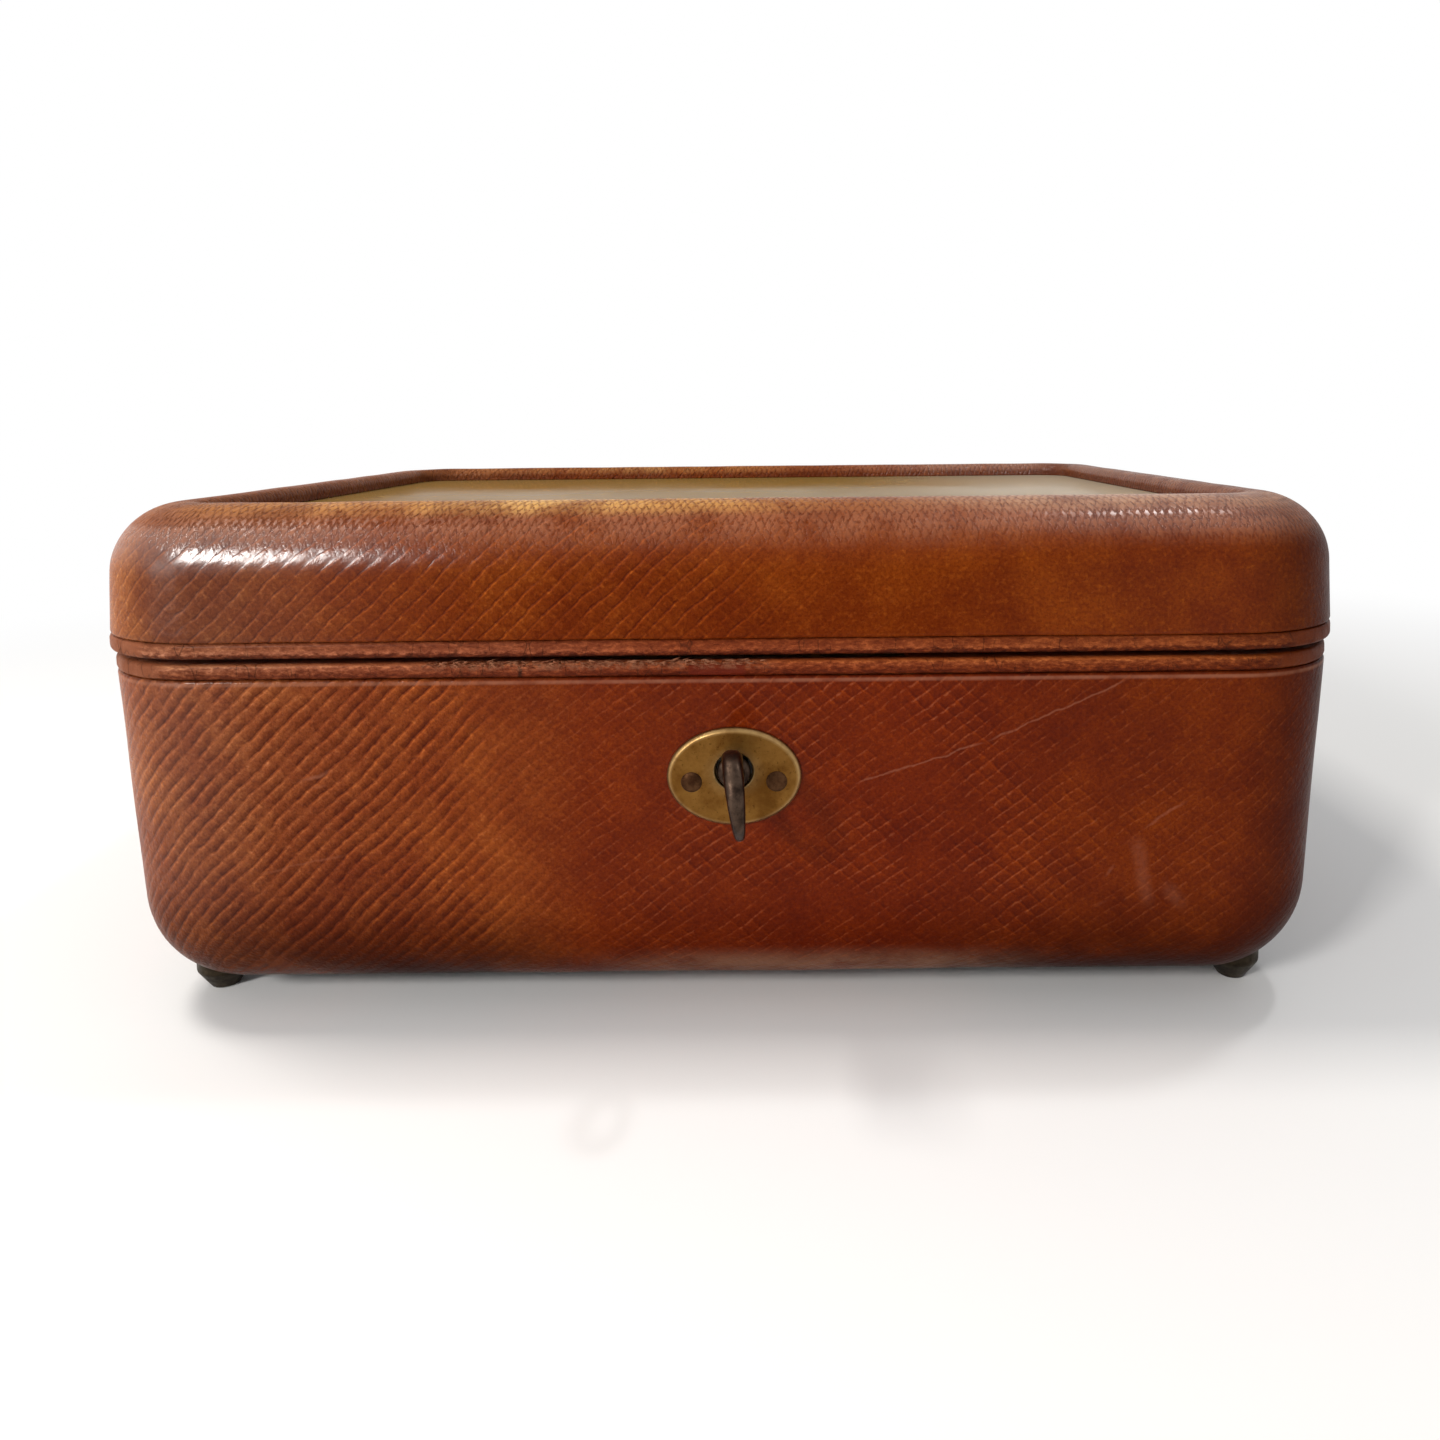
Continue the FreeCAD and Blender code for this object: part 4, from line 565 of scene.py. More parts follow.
# %% [markdown]
# ## The leather of the base
# On the real case one long piece of thin leather is wrapped round the box and turned under it. It could be the
# CAD skin with a finish, but a fresh grid gives even faces, a map for the grain and a slightly uneven surface
# that breaks up the highlights. The skin is drawn as its outside and thickened inwards.

# %% Helpers for skins
EDGE_TURN, EDGE_START = [(0.9, 0.02), (0.45, 0.06), (0.14, 0.25)], 0.7


def uneven(piece, depth, size, seed):
    """Pushes a skin's points in and out a little, as hand-laid leather lies."""
    offset = Vector((seed, seed, seed))
    normals = [n.vector.copy() for n in piece.data.vertex_normals]
    for vertex, normal in zip(piece.data.vertices, normals):
        vertex.co += normal * noise.noise(vertex.co / (size * MM) + offset) * depth * MM


def thickened(piece, thickness):
    """Gives a skin its thickness, inwards."""
    wall = piece.modifiers.new("thickness", "SOLIDIFY")
    wall.thickness, wall.offset = thickness * MM, -1.0
    return apply_modifiers(piece)


def base_radius(z):
    """Where the leaning wall of the base stands at a height."""
    return BASE_RADIUS - (BASE_RIM - z) * math.tan(BASE_LEAN)


# %% Base skin
KEY_ROOM_ROUND, KEY_ROOM_HALF, KEY_ROOM_DEEP = 5.4, 2.4, 8.4


def in_keyhole(face):
    """Whether a face lies where the plate's keyhole needs an opening behind it."""
    middle = face.calc_center_median() / MM
    across, drop = middle.x - LOCK_X, KEY_Z - middle.z
    in_round = math.hypot(across, drop) < KEY_ROOM_ROUND
    in_slot = abs(across) < KEY_ROOM_HALF and 0 < drop < KEY_ROOM_DEEP
    return middle.y < -CORNER_Y and (in_round or in_slot)


round_z = UNDERSIDE + BOTTOM_ROUND
touch_z = round_z - BOTTOM_ROUND * math.sin(BASE_LEAN)
round_r = base_radius(touch_z) - BOTTOM_ROUND * math.cos(BASE_LEAN)
edge_r = base_radius(SKIN_TOP)
base_profile = [(edge_r - inset, SKIN_TOP - drop) for inset, drop in EDGE_TURN]
base_profile += run((edge_r, SKIN_TOP - EDGE_START), (base_radius(touch_z), touch_z), 34)
base_profile += bow((round_r, round_z), BOTTOM_ROUND, -math.degrees(BASE_LEAN), -90, 26)
base_profile += [(round_r, UNDERSIDE), (0.0, UNDERSIDE, 0.97), (0.0, UNDERSIDE, 0.85)]
base_skin = swept("base_covering", base_profile, ROUND_CASE)
uneven(base_skin, depth=0.16, size=17.0, seed=3.0)
with editing(base_skin.data) as work:
    gone = [face for face in work.faces if in_keyhole(face)]
    bmesh.ops.delete(work, geom=gone, context="FACES")
thickened(base_skin, LEATHER)
finish_piece(base_skin, BASE_LEATHER, "leather", "base", "base_leather")

# %% [markdown]
# ## The leather of the lid
# The lid's leather starts at the glass, climbs the short inner wall, rolls over the crest and comes down the
# outside to the strip. One profile holds all of that, so the grain runs over the edge unbroken.

# %% Lid skin
LID_GAP = 0.05


def lid_radius(z):
    """Where the leaning wall of the lid stands at a height."""
    return LID_RADIUS - (z - LID_RIM) * math.tan(LID_LEAN)


top_z = CREST - LID_ROUND
lean_z = top_z + LID_ROUND * math.sin(LID_LEAN)
top_r = lid_radius(lean_z) - LID_ROUND * math.cos(LID_LEAN)
crest_r = OPENING_RADIUS + CREST_ROUND
foot_r = lid_radius(LID_FOOT)
lid_profile = run((OPENING_RADIUS, GLASS_TOP + 0.02), (OPENING_RADIUS, CREST - CREST_ROUND), 4)
lid_profile += bow((crest_r, CREST - CREST_ROUND), CREST_ROUND, 180, 90, 8)
lid_profile += [(crest_r, CREST)]
lid_profile += bow((top_r, top_z), LID_ROUND, 90, math.degrees(LID_LEAN), 24)
lid_profile += run((lid_radius(lean_z), lean_z), (foot_r, LID_FOOT + EDGE_START), 12)
lid_profile += [(foot_r, LID_FOOT + EDGE_START)]
lid_profile += [(foot_r - inset, LID_FOOT + rise) for inset, rise in reversed(EDGE_TURN)]
lid_skin = swept("lid_covering", lid_profile, ROUND_CASE)
uneven(lid_skin, depth=0.14, size=15.0, seed=11.0)
thickened(lid_skin, LEATHER - LID_GAP)
finish_piece(lid_skin, LID_LEATHER, "leather", "lid", "lid_leather")

# %% [markdown]
# ## The rim strips
# A narrow strip, faced with leather, lies on each rim like a flat bead, and its edge laps over the leather by a
# small lip. The lower one is worn: its edge is rubbed through left of the lock, where a thumb lifts the lid. Right
# above the lock a dark red patch replaces lost leather, and further left the strip is split. The strips are swept
# with a rounded section, and Boolean cuts let in the lock plate, the strike plate and the hinges, as a chisel would.

# %% Strip finish
# Tones along the strips: their own changes of tone, and painted light, brighter at the left end, with painted shade
# darkening the right end.
STRIP_TONES_AND_LIGHT = [
    (0.02, (0.23, 0.078, 0.036)), (0.3, (0.20, 0.048, 0.018)), (0.5, (0.18, 0.034, 0.009)), (0.8, (0.20, 0.042, 0.010)),
    (0.98, (0.10, 0.018, 0.003))]
# Painted light and shade up each strip's rounded face: painted shade low down and a painted highlight along its bulge.
LOWER_STRIP_LIGHT_SHADE = [
    (0.0, (0.20, 0.14, 0.10)), (0.2, (0.28, 0.20, 0.16)), (0.45, (0.42, 0.36, 0.32)), (0.68, (0.60, 0.62, 0.66)),
    (0.85, (0.85, 1.0, 1.0)), (1.0, (0.50, 0.50, 0.50))]
UPPER_STRIP_LIGHT_SHADE = [
    (0.0, (0.10, 0.08, 0.07)), (0.2, (0.26, 0.20, 0.18)), (0.42, (0.66, 0.72, 0.80)), (0.6, (0.54, 0.55, 0.56)),
    (0.9, (0.48, 0.47, 0.46)), (1.0, (0.36, 0.34, 0.32))]


def rim_leather():
    r = Recipe("rim leather", Specular_IOR_Level=0.02, Coat_Weight=0.03, Coat_IOR=2.0, Coat_Roughness=0.3)
    place = r.object_place()
    x, y, z = r.split(place)
    mottle = r.noise(place, 6.0, 5.0, 0.62)
    flecks = r.noise(r.stretched(place, 0.5, 0.5, 1.3), 0.8, 4.0, 0.7)
    cracks = r.ease(r.cells(r.stretched(place, 1.0, 1.0, 0.35), 2.4, "DISTANCE_TO_EDGE"), 0.0, 0.05, 1.0, 0.0)
    cracks = cracks * r.ease(mottle, 0.5, 0.62)
    edge = r.ease(y, -90.6, -89.2, 1.0, 0.0)
    below = r.ease(z, BASE_RIM, BASE_RIM + 0.5, 1.0, 0.0)

    colour = r.tint(r.ease(mottle, 0.35, 0.65, 0.0, 0.8), r.across_case(x, STRIP_TONES_AND_LIGHT), (0.78, 0.70, 0.66))
    colour = r.tint(r.ease(flecks, 0.48, 0.66) * (edge * 0.8 + 0.2), colour, (1.7, 2.0, 2.1))
    colour = r.tint(r.ease(flecks, 0.34, 0.48, 0.7, 0.0) * edge, colour, (0.5, 0.38, 0.33))
    # Painted highlight and shade on the strips' outer faces, by height.
    tall, ragged = STRIP_HEIGHT + STRIP_LIP, z + (flecks - 0.5) * 1.3
    lower = r.ramp((ragged - SKIN_TOP) / tall, *LOWER_STRIP_LIGHT_SHADE)
    upper = r.ramp((ragged - LID_RIM) / tall, *UPPER_STRIP_LIGHT_SHADE)
    colour = r.shaded(edge, colour, r.mix(r.ease(z, BASE_RIM + 0.3, LID_RIM - 0.3), lower, upper))
    colour = r.mix(cracks * 0.5, colour, (0.016, 0.005, 0.002))
    patch = r.band(x, -5.6, -5.0, 5.0, 5.8) * below * r.ease(z, BASE_RIM - 1.0, BASE_RIM - 0.4, 0.8, 0.0)
    colour = r.mix(patch, colour, (0.115, 0.012, 0.004))
    split = r.ease(abs(x + (flecks * 2.0 + 36.5)), 0.15, 0.5, 0.85, 0.0)
    colour = r.mix(split * below, colour, (0.02, 0.005, 0.002))
    rubbed = r.band(x, -66.0, -44.0, 4.0, 14.0) * r.ease(z, BASE_RIM - 2.0, BASE_RIM - 1.2) * below
    rubbed = rubbed * r.ease(r.noise(place, 2.2, 6.0, 0.8), 0.42, 0.62)
    colour = r.mix(rubbed * 0.6, colour, (0.27, 0.11, 0.058))
    height = mottle * 0.4 - cracks * 0.1 + flecks * (edge * 0.5 + 0.12)
    return r.done(colour, r.ease(mottle, 0.3, 0.7, 0.34, 0.55), height)


RIM_LEATHER = rim_leather()


# %% Cutting
def block(lowest, highest, rounding=0.0, segments=1):
    """Points and faces of a box between two corners, with its edges rounded."""
    work = bmesh.new()
    bmesh.ops.create_cube(work, size=1.0)
    for vertex in work.verts:
        vertex.co = Vector((lowest + highest) / 2 + np.array(vertex.co) * (highest - lowest))
    if rounding:
        bmesh.ops.bevel(work, geom=work.edges, offset=rounding, segments=segments, affect="EDGES", profile=0.5)
    work.verts.index_update()
    points = [tuple(v.co) for v in work.verts]
    faces = [tuple(v.index for v in face.verts) for face in work.faces]
    work.free()
    return points, faces


def cutter(node, room, raise_low=0.0, raise_high=0.0):
    """A box round a CAD node, with room on every side."""
    lowest, highest = node_box(node)
    points, faces = block(lowest - room - (0, 0, raise_low), highest + room + (0, 0, raise_high))
    return new_piece("chisel", points, faces, smooth=False)


def carve(piece, *tools):
    """Cuts closed tools out of a piece."""
    for tool in tools:
        chisel = piece.modifiers.new("cut", "BOOLEAN")
        chisel.operation, chisel.solver, chisel.object = "DIFFERENCE", "EXACT", tool
    apply_modifiers(piece)
    for tool in tools:
        bpy.data.objects.remove(tool)


# %% Strips
WORN_FROM, WORN_TO, WORN_DEEP = -58.0, 10.0, 1.2
SNUG, HINGE_ROOM = 0.02, 0.35
SIDES = ("left", "right")


def strip_profile(outer, foot, top, round_top, round_foot, lip):
    """A strip's section, from the inner foot over the top to the outer foot and back. Its edge laps by a lip."""
    lip_top, lip_foot, rim = top + max(lip, 0.0), foot + min(lip, 0.0), outer - STRIP_EDGE
    section = run((HOLLOW_RADIUS, foot), (HOLLOW_RADIUS, top), 3)
    section += run((HOLLOW_RADIUS, top), (rim, top), 6)
    section += [(rim, lip_top)]
    section += bow((outer - round_top, lip_top - round_top), round_top, 90, 0, 6)
    section += run((outer, lip_top - round_top), (outer, lip_foot + round_foot), 3)
    section += bow((outer - round_foot, lip_foot + round_foot), round_foot, 0, -90, 6)
    section += [(outer - round_foot, lip_foot), (rim, lip_foot)]
    section += run((rim, foot), (HOLLOW_RADIUS, foot), 6)
    return section


def rough_edge(piece, worn_top=None):
    """Rubs a strip's outer edge unevenly, and a worn strip's most, near its top and left of the lock."""
    for vertex in piece.data.vertices:
        place = vertex.co / MM
        x, y, z = place
        past_x, past_y = max(abs(x) - CORNER_X, 0.0), max(abs(y) - CORNER_Y, 0.0)
        if math.hypot(past_x, past_y) < HOLLOW_RADIUS + 7.0:
            continue
        push = noise.noise(place / 3.1) * 0.09 + noise.noise(place / 13.0) * 0.08 - 0.12
        if worn_top is not None and WORN_FROM < x < WORN_TO and y < 0 and worn_top - z < WORN_DEEP:
            push -= 0.16 + 0.22 * noise.noise(Vector((x / 1.7, 4.0, 0.0)))
        out = Vector((0, math.copysign(1, y), 0)) if past_y > past_x else Vector((math.copysign(1, x), 0, 0))
        vertex.co += out * push * MM


base_section = strip_profile(BASE_RADIUS, BASE_RIM - STRIP_HEIGHT, BASE_RIM, 0.93, 0.85, -STRIP_LIP)
base_strip = swept("base_rim_strip", base_section, ROUND_CASE, closed=True)
rough_edge(base_strip, worn_top=BASE_RIM)
carve(base_strip, cutter("lock_selvedge", SNUG, raise_high=2.0), cutter("lock_case", SNUG),
      *(cutter(f"hinge_base_leaf_{side}", HINGE_ROOM, raise_high=3.0) for side in SIDES))
finish_piece(base_strip, RIM_LEATHER, "rim_leather", "base", "base_rim_cap")

lid_section = strip_profile(LID_RADIUS, LID_RIM, LID_RIM + STRIP_HEIGHT, 0.85, 0.75, STRIP_LIP)
lid_strip = swept("lid_rim_strip", lid_section, ROUND_CASE, closed=True)
rough_edge(lid_strip)
carve(lid_strip, cutter("strike_plate", SNUG),
      *(cutter(f"hinge_lid_leaf_{side}", HINGE_ROOM, raise_low=3.0) for side in SIDES))
finish_piece(lid_strip, RIM_LEATHER, "rim_leather", "lid", "lid_rim_cap")

# %% [markdown]
# ## Metal finishes
# The brass has gone olive-brown with age and is rubbed bright only on its edges. A mesh made here can mark its
# rubbed edges with an attribute, which the finish reads; on the key the same attribute paints a highlight on the
# bow's tip. On a CAD node that attribute is simply nought. The steel of the key is dark from handling, the pins
# are rusty, and the feet are almost black.

# %% Metal
def metal(name, dull, dark, bright, rough, patch, waves=0.10):
    r = Recipe(name, Metallic=1.0)
    place = r.object_place()
    patches = r.noise(place, patch, 5.0, 0.65)
    hairs = r.noise(r.stretched(place, 0.25, 1.0, 1.0), 0.22, 3.0, 0.6)
    specks = r.ease(r.noise(place, 0.7, 3.0, 0.6), 0.60, 0.70)
    rubbed = r.value("ShaderNodeAttribute", {}, "Fac", attribute_name="rubbed")
    colour = r.tint(specks * 0.6, r.mix(r.ease(patches, 0.32, 0.68), dull, dark), (0.35, 0.3, 0.25))
    # The rubbed attribute brightens worn edges; on the key's tip it is a painted highlight.
    colour = r.mix(rubbed * r.ease(patches, 0.25, 0.7, 1.0, 0.45), colour, bright)
    worn = r.ease(patches, 0.3, 0.7, rough, rough + 0.18) + hairs * 0.12
    return r.done(colour, worn - rubbed * 0.12, hairs * 0.02 + patches * waves)


BRASS = metal("aged brass", (0.19, 0.090, 0.020), (0.115, 0.046, 0.008), (0.75, 0.52, 0.24), 0.28, 6.0)
PIN_RUST = metal("rusty pins", (0.085, 0.040, 0.018), (0.04, 0.016, 0.007), (0.3, 0.2, 0.12), 0.40, 2.2)
KEY_STEEL = metal("dark key steel", (0.075, 0.048, 0.034), (0.018, 0.011, 0.008), (0.45, 0.42, 0.38), 0.22, 3.0, 0.03)
LOCK_STEEL = metal("lock steel", (0.42, 0.40, 0.37), (0.25, 0.22, 0.19), (0.6, 0.58, 0.55), 0.32, 5.0)
SCREW_STEEL = metal("screw steel", (0.36, 0.33, 0.29), (0.20, 0.17, 0.14), (0.6, 0.58, 0.55), 0.32, 1.5)
FOOT_BRONZE = metal("dark bronze", (0.06, 0.045, 0.028), (0.025, 0.018, 0.012), (0.3, 0.22, 0.12), 0.35, 2.5)


def mark_rubbed(piece, amounts):
    """Keeps how much each point is rubbed, for the finish to read."""
    piece.data.attributes.new("rubbed", "FLOAT", "POINT").data.foreach_set("value", amounts)


# %% [markdown]
# ## The keyhole plate
# The plate is a flat oval with a filed bevel, pierced by a keyhole. A Boolean would leave long thin faces round
# the hole, so the mesh is made of rings that change from the keyhole's outline to the oval, seen from the key's
# axis. The outer rings step down for the bevel, and carry the rubbed attribute.

# %% Outlines of the plate
PLATE_Z = KEY_Z - 1.3
PLATE_Y = -CORNER_Y - base_radius(PLATE_Z)
PLATE_HALF_WIDTH, PLATE_HALF_HEIGHT, PLATE_OUT, PLATE_BEVEL = 13.0, 9.8, 1.2, 0.75
HOLE_ROUND, SLOT_HALF, SLOT_DEEP = 3.65, 1.0, 7.7


def on_front(across, up, out):
    """A place on the leaning front, measured from the plate's centre."""
    sine, cosine = math.sin(BASE_LEAN), math.cos(BASE_LEAN)
    return (LOCK_X + across, PLATE_Y - up * sine - out * cosine, PLATE_Z + up * cosine - out * sine)


def keyhole_reach(angle):
    """How far the keyhole's outline is from the key's axis."""
    cosine, sine = abs(math.cos(angle)), math.sin(angle)
    slot = min(SLOT_HALF / max(cosine, 1e-6), SLOT_DEEP / max(-sine, 1e-6)) if sine < 0 else 0.0
    return max(HOLE_ROUND, slot)


def oval_reach(angle, inset):
    """How far an oval inside the plate's edge is from the key's axis."""
    a, b, lift = PLATE_HALF_WIDTH - inset, PLATE_HALF_HEIGHT - inset, KEY_Z - PLATE_Z
    c, s = math.cos(angle), math.sin(angle)
    square, cross, rest = (c / a) ** 2 + (s / b) ** 2, lift * s / b ** 2, (lift / b) ** 2 - 1
    return (-cross + math.sqrt(cross ** 2 - square * rest)) / square


# %% Keyhole plate
INNER_RINGS = [(0.0, 0.0, 0.0), (0.0, 1.0, 0.4), (0.02, 1.17, 0.6), (0.05, 1.2, 0.1), (0.3, 1.2, 0.0), (0.6, 1.2, 0.0)]
OUTER_RINGS = [(PLATE_BEVEL + 0.35, 1.2, 0.0), (PLATE_BEVEL, 1.19, 0.15), (0.55, 1.10, 0.35), (0.28, 0.86, 0.4),
               (0.07, 0.60, 0.35), (0.0, 0.42, 0.2), (0.0, 0.0, 0.0)]
FACE_FROM, DENT = 1.1, 0.05

turns = np.radians(np.concatenate([np.arange(-70, 250, 3.0), np.arange(250, 290, 1.25)]))
rings = INNER_RINGS + OUTER_RINGS
plate_points, plate_rub = [], []
for number, (reach, out, rub) in enumerate(rings):
    for angle in turns:
        inner, outer = keyhole_reach(angle), oval_reach(angle, 0.0)
        inside = number < len(INNER_RINGS)
        distance = inner + (outer - inner) * reach if inside else oval_reach(angle, reach)
        across, up = distance * math.cos(angle), distance * math.sin(angle)
        dent = DENT * noise.noise(Vector((across, up, 0)) / 5.0) if out > FACE_FROM else 0.0
        plate_points.append(on_front(across, KEY_Z - PLATE_Z + up, out + dent))
        plate_rub.append(rub)
plate = new_piece("keyhole_plate", plate_points, ring_faces(len(rings), len(turns), closed=True))
mark_rubbed(plate, plate_rub)
finish_piece(plate, BRASS, "brass", "base", "escutcheon")

# %% [markdown]
# ## Pins and screws
# Small fasteners repeat, so each kind is one Geometry Nodes tree: it makes one pin or one screw from its sizes,
# puts a copy at every point it is given, turned as the point's attribute says, and makes the copies real. Sizes
# are named inputs. The points come from the CAD: each CAD fastener's own place.

# %% Helpers for Geometry Nodes
def new_tree(name, sizes):
    """A tree with named sizes in metres and a finish, and the values it is given."""
    tree = bpy.data.node_groups.new(name, "GeometryNodeTree")
    for way in ("INPUT", "OUTPUT"):
        tree.interface.new_socket("Geometry", in_out=way, socket_type="NodeSocketGeometry")
    for size, number in sizes.items():
        kind = "NodeSocketInt" if isinstance(number, int) else "NodeSocketFloat"
        tree.interface.new_socket(size, in_out="INPUT", socket_type=kind).default_value = number
    tree.interface.new_socket("Finish", in_out="INPUT", socket_type="NodeSocketMaterial")
    given = {socket.name: Value(tree, socket) for socket in tree.nodes.new("NodeGroupInput").outputs}
    return tree, given


def moved(tree, geometry, z, scale_z=1.0):
    place = value(tree, "ShaderNodeCombineXYZ", {"Z": z})
    scale = value(tree, "ShaderNodeCombineXYZ", {"X": 1.0, "Y": 1.0, "Z": scale_z})
    return value(tree, "GeometryNodeTransform", {"Geometry": geometry, "Translation": place, "Scale": scale})


def rod(tree, given, sides):
    return value(tree, "GeometryNodeMeshCylinder", {
        "Vertices": sides, "Radius": given["Shank radius"], "Depth": given["Length"]}, "Mesh")


def end_tree(tree, given, points, parts, **how):
    """Joins the parts, puts a copy at every point, makes the copies real and sets the finish."""
    joined = tree.nodes.new("GeometryNodeJoinGeometry")
    for part in parts:
        feed(tree, joined.inputs[0], part)
    inputs = {"Points": points, "Instance": Value(tree, joined.outputs[0]), **how}
    copies = value(tree, "GeometryNodeInstanceOnPoints", inputs)
    real = value(tree, "GeometryNodeRealizeInstances", {"Geometry": copies})
    ended = value(tree, "GeometryNodeSetMaterial", {"Geometry": real, "Material": given["Finish"]})
    feed(tree, tree.nodes.new("NodeGroupOutput").inputs[0], ended)
    print("tree:", tree.name)
    return tree


def grown(tree, name, places, finish, turns=None, edges=(), **sizes):
    """Runs a tree on points in millimetres and keeps the result as a plain mesh."""
    piece = new_piece(name, places, [], edges=edges)
    if turns:
        flat = np.array(turns, np.float32).ravel()
        piece.data.attributes.new("turn", "FLOAT_VECTOR", "POINT").data.foreach_set("vector", flat)
    modifier = piece.modifiers.new("tree", "NODES")
    modifier.node_group = tree
    for item in tree.interface.items_tree:
        size = item.name.lower().replace(" ", "_")
        if item.in_out == "INPUT" and item.name == "Finish":
            modifier[item.identifier] = finish
        elif item.in_out == "INPUT" and size in sizes:
            modifier[item.identifier] = sizes[size] * MM
    return apply_modifiers(piece)


# %% Fastener trees
def screw_tree():
    tree, given = new_tree("slotted screw", {
        "Head radius": 2.0 * MM, "Head height": 0.9 * MM, "Shank radius": 1.1 * MM, "Length": 8.0 * MM,
        "Slot width": 0.5 * MM, "Slot depth": 0.45 * MM})
    head = value(tree, "GeometryNodeMeshCone", {
        "Vertices": 32, "Radius Top": given["Head radius"], "Radius Bottom": given["Shank radius"],
        "Depth": given["Head height"]}, "Mesh")
    head = moved(tree, head, given["Head height"] * -1.0)
    slot_size = value(tree, "ShaderNodeCombineXYZ", {
        "X": given["Head radius"] * 3.0, "Y": given["Slot width"], "Z": given["Slot depth"] * 2.0})
    slot = value(tree, "GeometryNodeMeshCube", {"Size": slot_size}, "Mesh")
    cut = value(tree, "GeometryNodeMeshBoolean", {"Mesh 1": head, "Mesh 2": slot}, operation="DIFFERENCE")
    shank = moved(tree, rod(tree, given, 20), given["Length"] * -0.5 - given["Head height"])
    turn = value(tree, "GeometryNodeInputNamedAttribute", {"Name": "turn"}, data_type="FLOAT_VECTOR")
    return end_tree(tree, given, given["Geometry"], (cut, shank), Rotation=turn)


def pin_tree():
    tree, given = new_tree("domed pin", {
        "Head radius": 2.0 * MM, "Head height": 0.8 * MM, "Shank radius": 0.7 * MM, "Length": 3.0 * MM})
    ball = {"Segments": 28, "Rings": 14, "Radius": given["Head radius"]}
    head = value(tree, "GeometryNodeMeshUVSphere", ball, "Mesh")
    head = value(tree, "GeometryNodeSetShadeSmooth", {"Geometry": head})
    head = moved(tree, head, 0.0, given["Head height"] / given["Head radius"])
    shank = moved(tree, rod(tree, given, 16), given["Length"] * -0.5)
    turn = value(tree, "GeometryNodeInputNamedAttribute", {"Name": "turn"}, data_type="FLOAT_VECTOR")
    return end_tree(tree, given, given["Geometry"], (head, shank), Rotation=turn)


SCREW, PIN = screw_tree(), pin_tree()

# %% [markdown]
# Where the fasteners go: the hinge screws stand in threes on the leaves, two screws hold the lock and two the
# strike plate, and pins hold the glazing beads and the keyhole plate. No two slots stand at the same angle,
# as a screwdriver leaves them.

# %% Places of the CAD fasteners
def islands(node):
    """Lowest and highest corners of a CAD node's separate solids."""
    work = bmesh.new()
    work.from_mesh(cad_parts[node].data)
    bmesh.ops.remove_doubles(work, verts=work.verts, dist=1e-7)
    left, found = set(work.verts), []
    while left:
        group, edge = set(), [left.pop()]
        while edge:
            vertex = edge.pop()
            group.add(vertex)
            for link in vertex.link_edges:
                other = link.other_vert(vertex)
                if other in left:
                    left.discard(other)
                    edge.append(other)
        spread = np.array([v.co for v in group]) / MM
        found.append((spread.min(0), spread.max(0)))
    work.free()
    return sorted(found, key=lambda pair: tuple(pair[0]))


SINK = 0.01


def screw_places(node, upwards):
    """Where a node's screw heads lie, and how each screw is turned."""
    places, angles = [], []
    for number, (lowest, highest) in enumerate(islands(node)):
        middle = (lowest + highest) / 2
        places.append((middle[X], middle[Y], lowest[Z] + SINK if upwards else highest[Z] - SINK))
        angles.append((math.pi if upwards else 0.0, 0.0, 0.7 + 1.9 * number))
    return places, angles


# %% Screws
for body, upwards, nodes in (("base", False, ("base_hinge_screws", "lock_screws")),
                             ("lid", True, ("lid_hinge_screws", "strike_screws"))):
    gathered = [screw_places(node, upwards) for node in nodes]
    places, angles = (sum((g[k] for g in gathered), []) for k in (0, 1))
    screws = grown(SCREW, f"{body}_screws", places, SCREW_STEEL, angles)
    finish_piece(screws, SCREW_STEEL, "screw_steel", body, *nodes)

# %% Pins
PIN_APART, PIN_DROP = 8.2, 0.8

plate_pins = [on_front(side * PIN_APART, -PIN_DROP, PLATE_OUT - 0.05) for side in (-1, 1)]
facing_front = [(math.pi / 2 + BASE_LEAN, 0.0, 0.0)] * 2
pins = grown(PIN, "plate_pins", plate_pins, PIN_RUST, facing_front, head_radius=2.05, head_height=0.62, length=3.0)
finish_piece(pins, PIN_RUST, "pin_heads", "base", "escutcheon_pins")

bead_places, bead_turns = [], []
for lowest, highest in islands("glazing_pins"):
    middle, size = (lowest + highest) / 2, highest - lowest
    axis = X if size[X] > size[Y] else Y
    inward = -1 if middle[axis] > 0 else 1
    middle[axis] = lowest[axis] if inward < 0 else highest[axis]
    bead_places.append(middle)
    bead_turns.append((0.0, inward * math.pi / 2, 0.0) if axis == X else (-inward * math.pi / 2, 0.0, 0.0))
pins = grown(PIN, "bead_pins", bead_places, SCREW_STEEL, bead_turns, head_radius=0.8, head_height=0.25,
             shank_radius=0.6, length=9.0)
finish_piece(pins, SCREW_STEEL, "screw_steel", "lid", "glazing_pins")

# %% [markdown]
# ## Frayed fibres
# Left of the lock the lower strip is rubbed through, and fibres of the leather stand out along its edge. Hundreds
# of small slivers follow one line, so they are Geometry Nodes too: points along the line, shaken by seeded random
# numbers, each with a thin cone lying along the edge.

# %% Fibres
FRAYED_FROM, FRAYED_TO, FRAYED_POINTS = -56.0, 8.0, 40


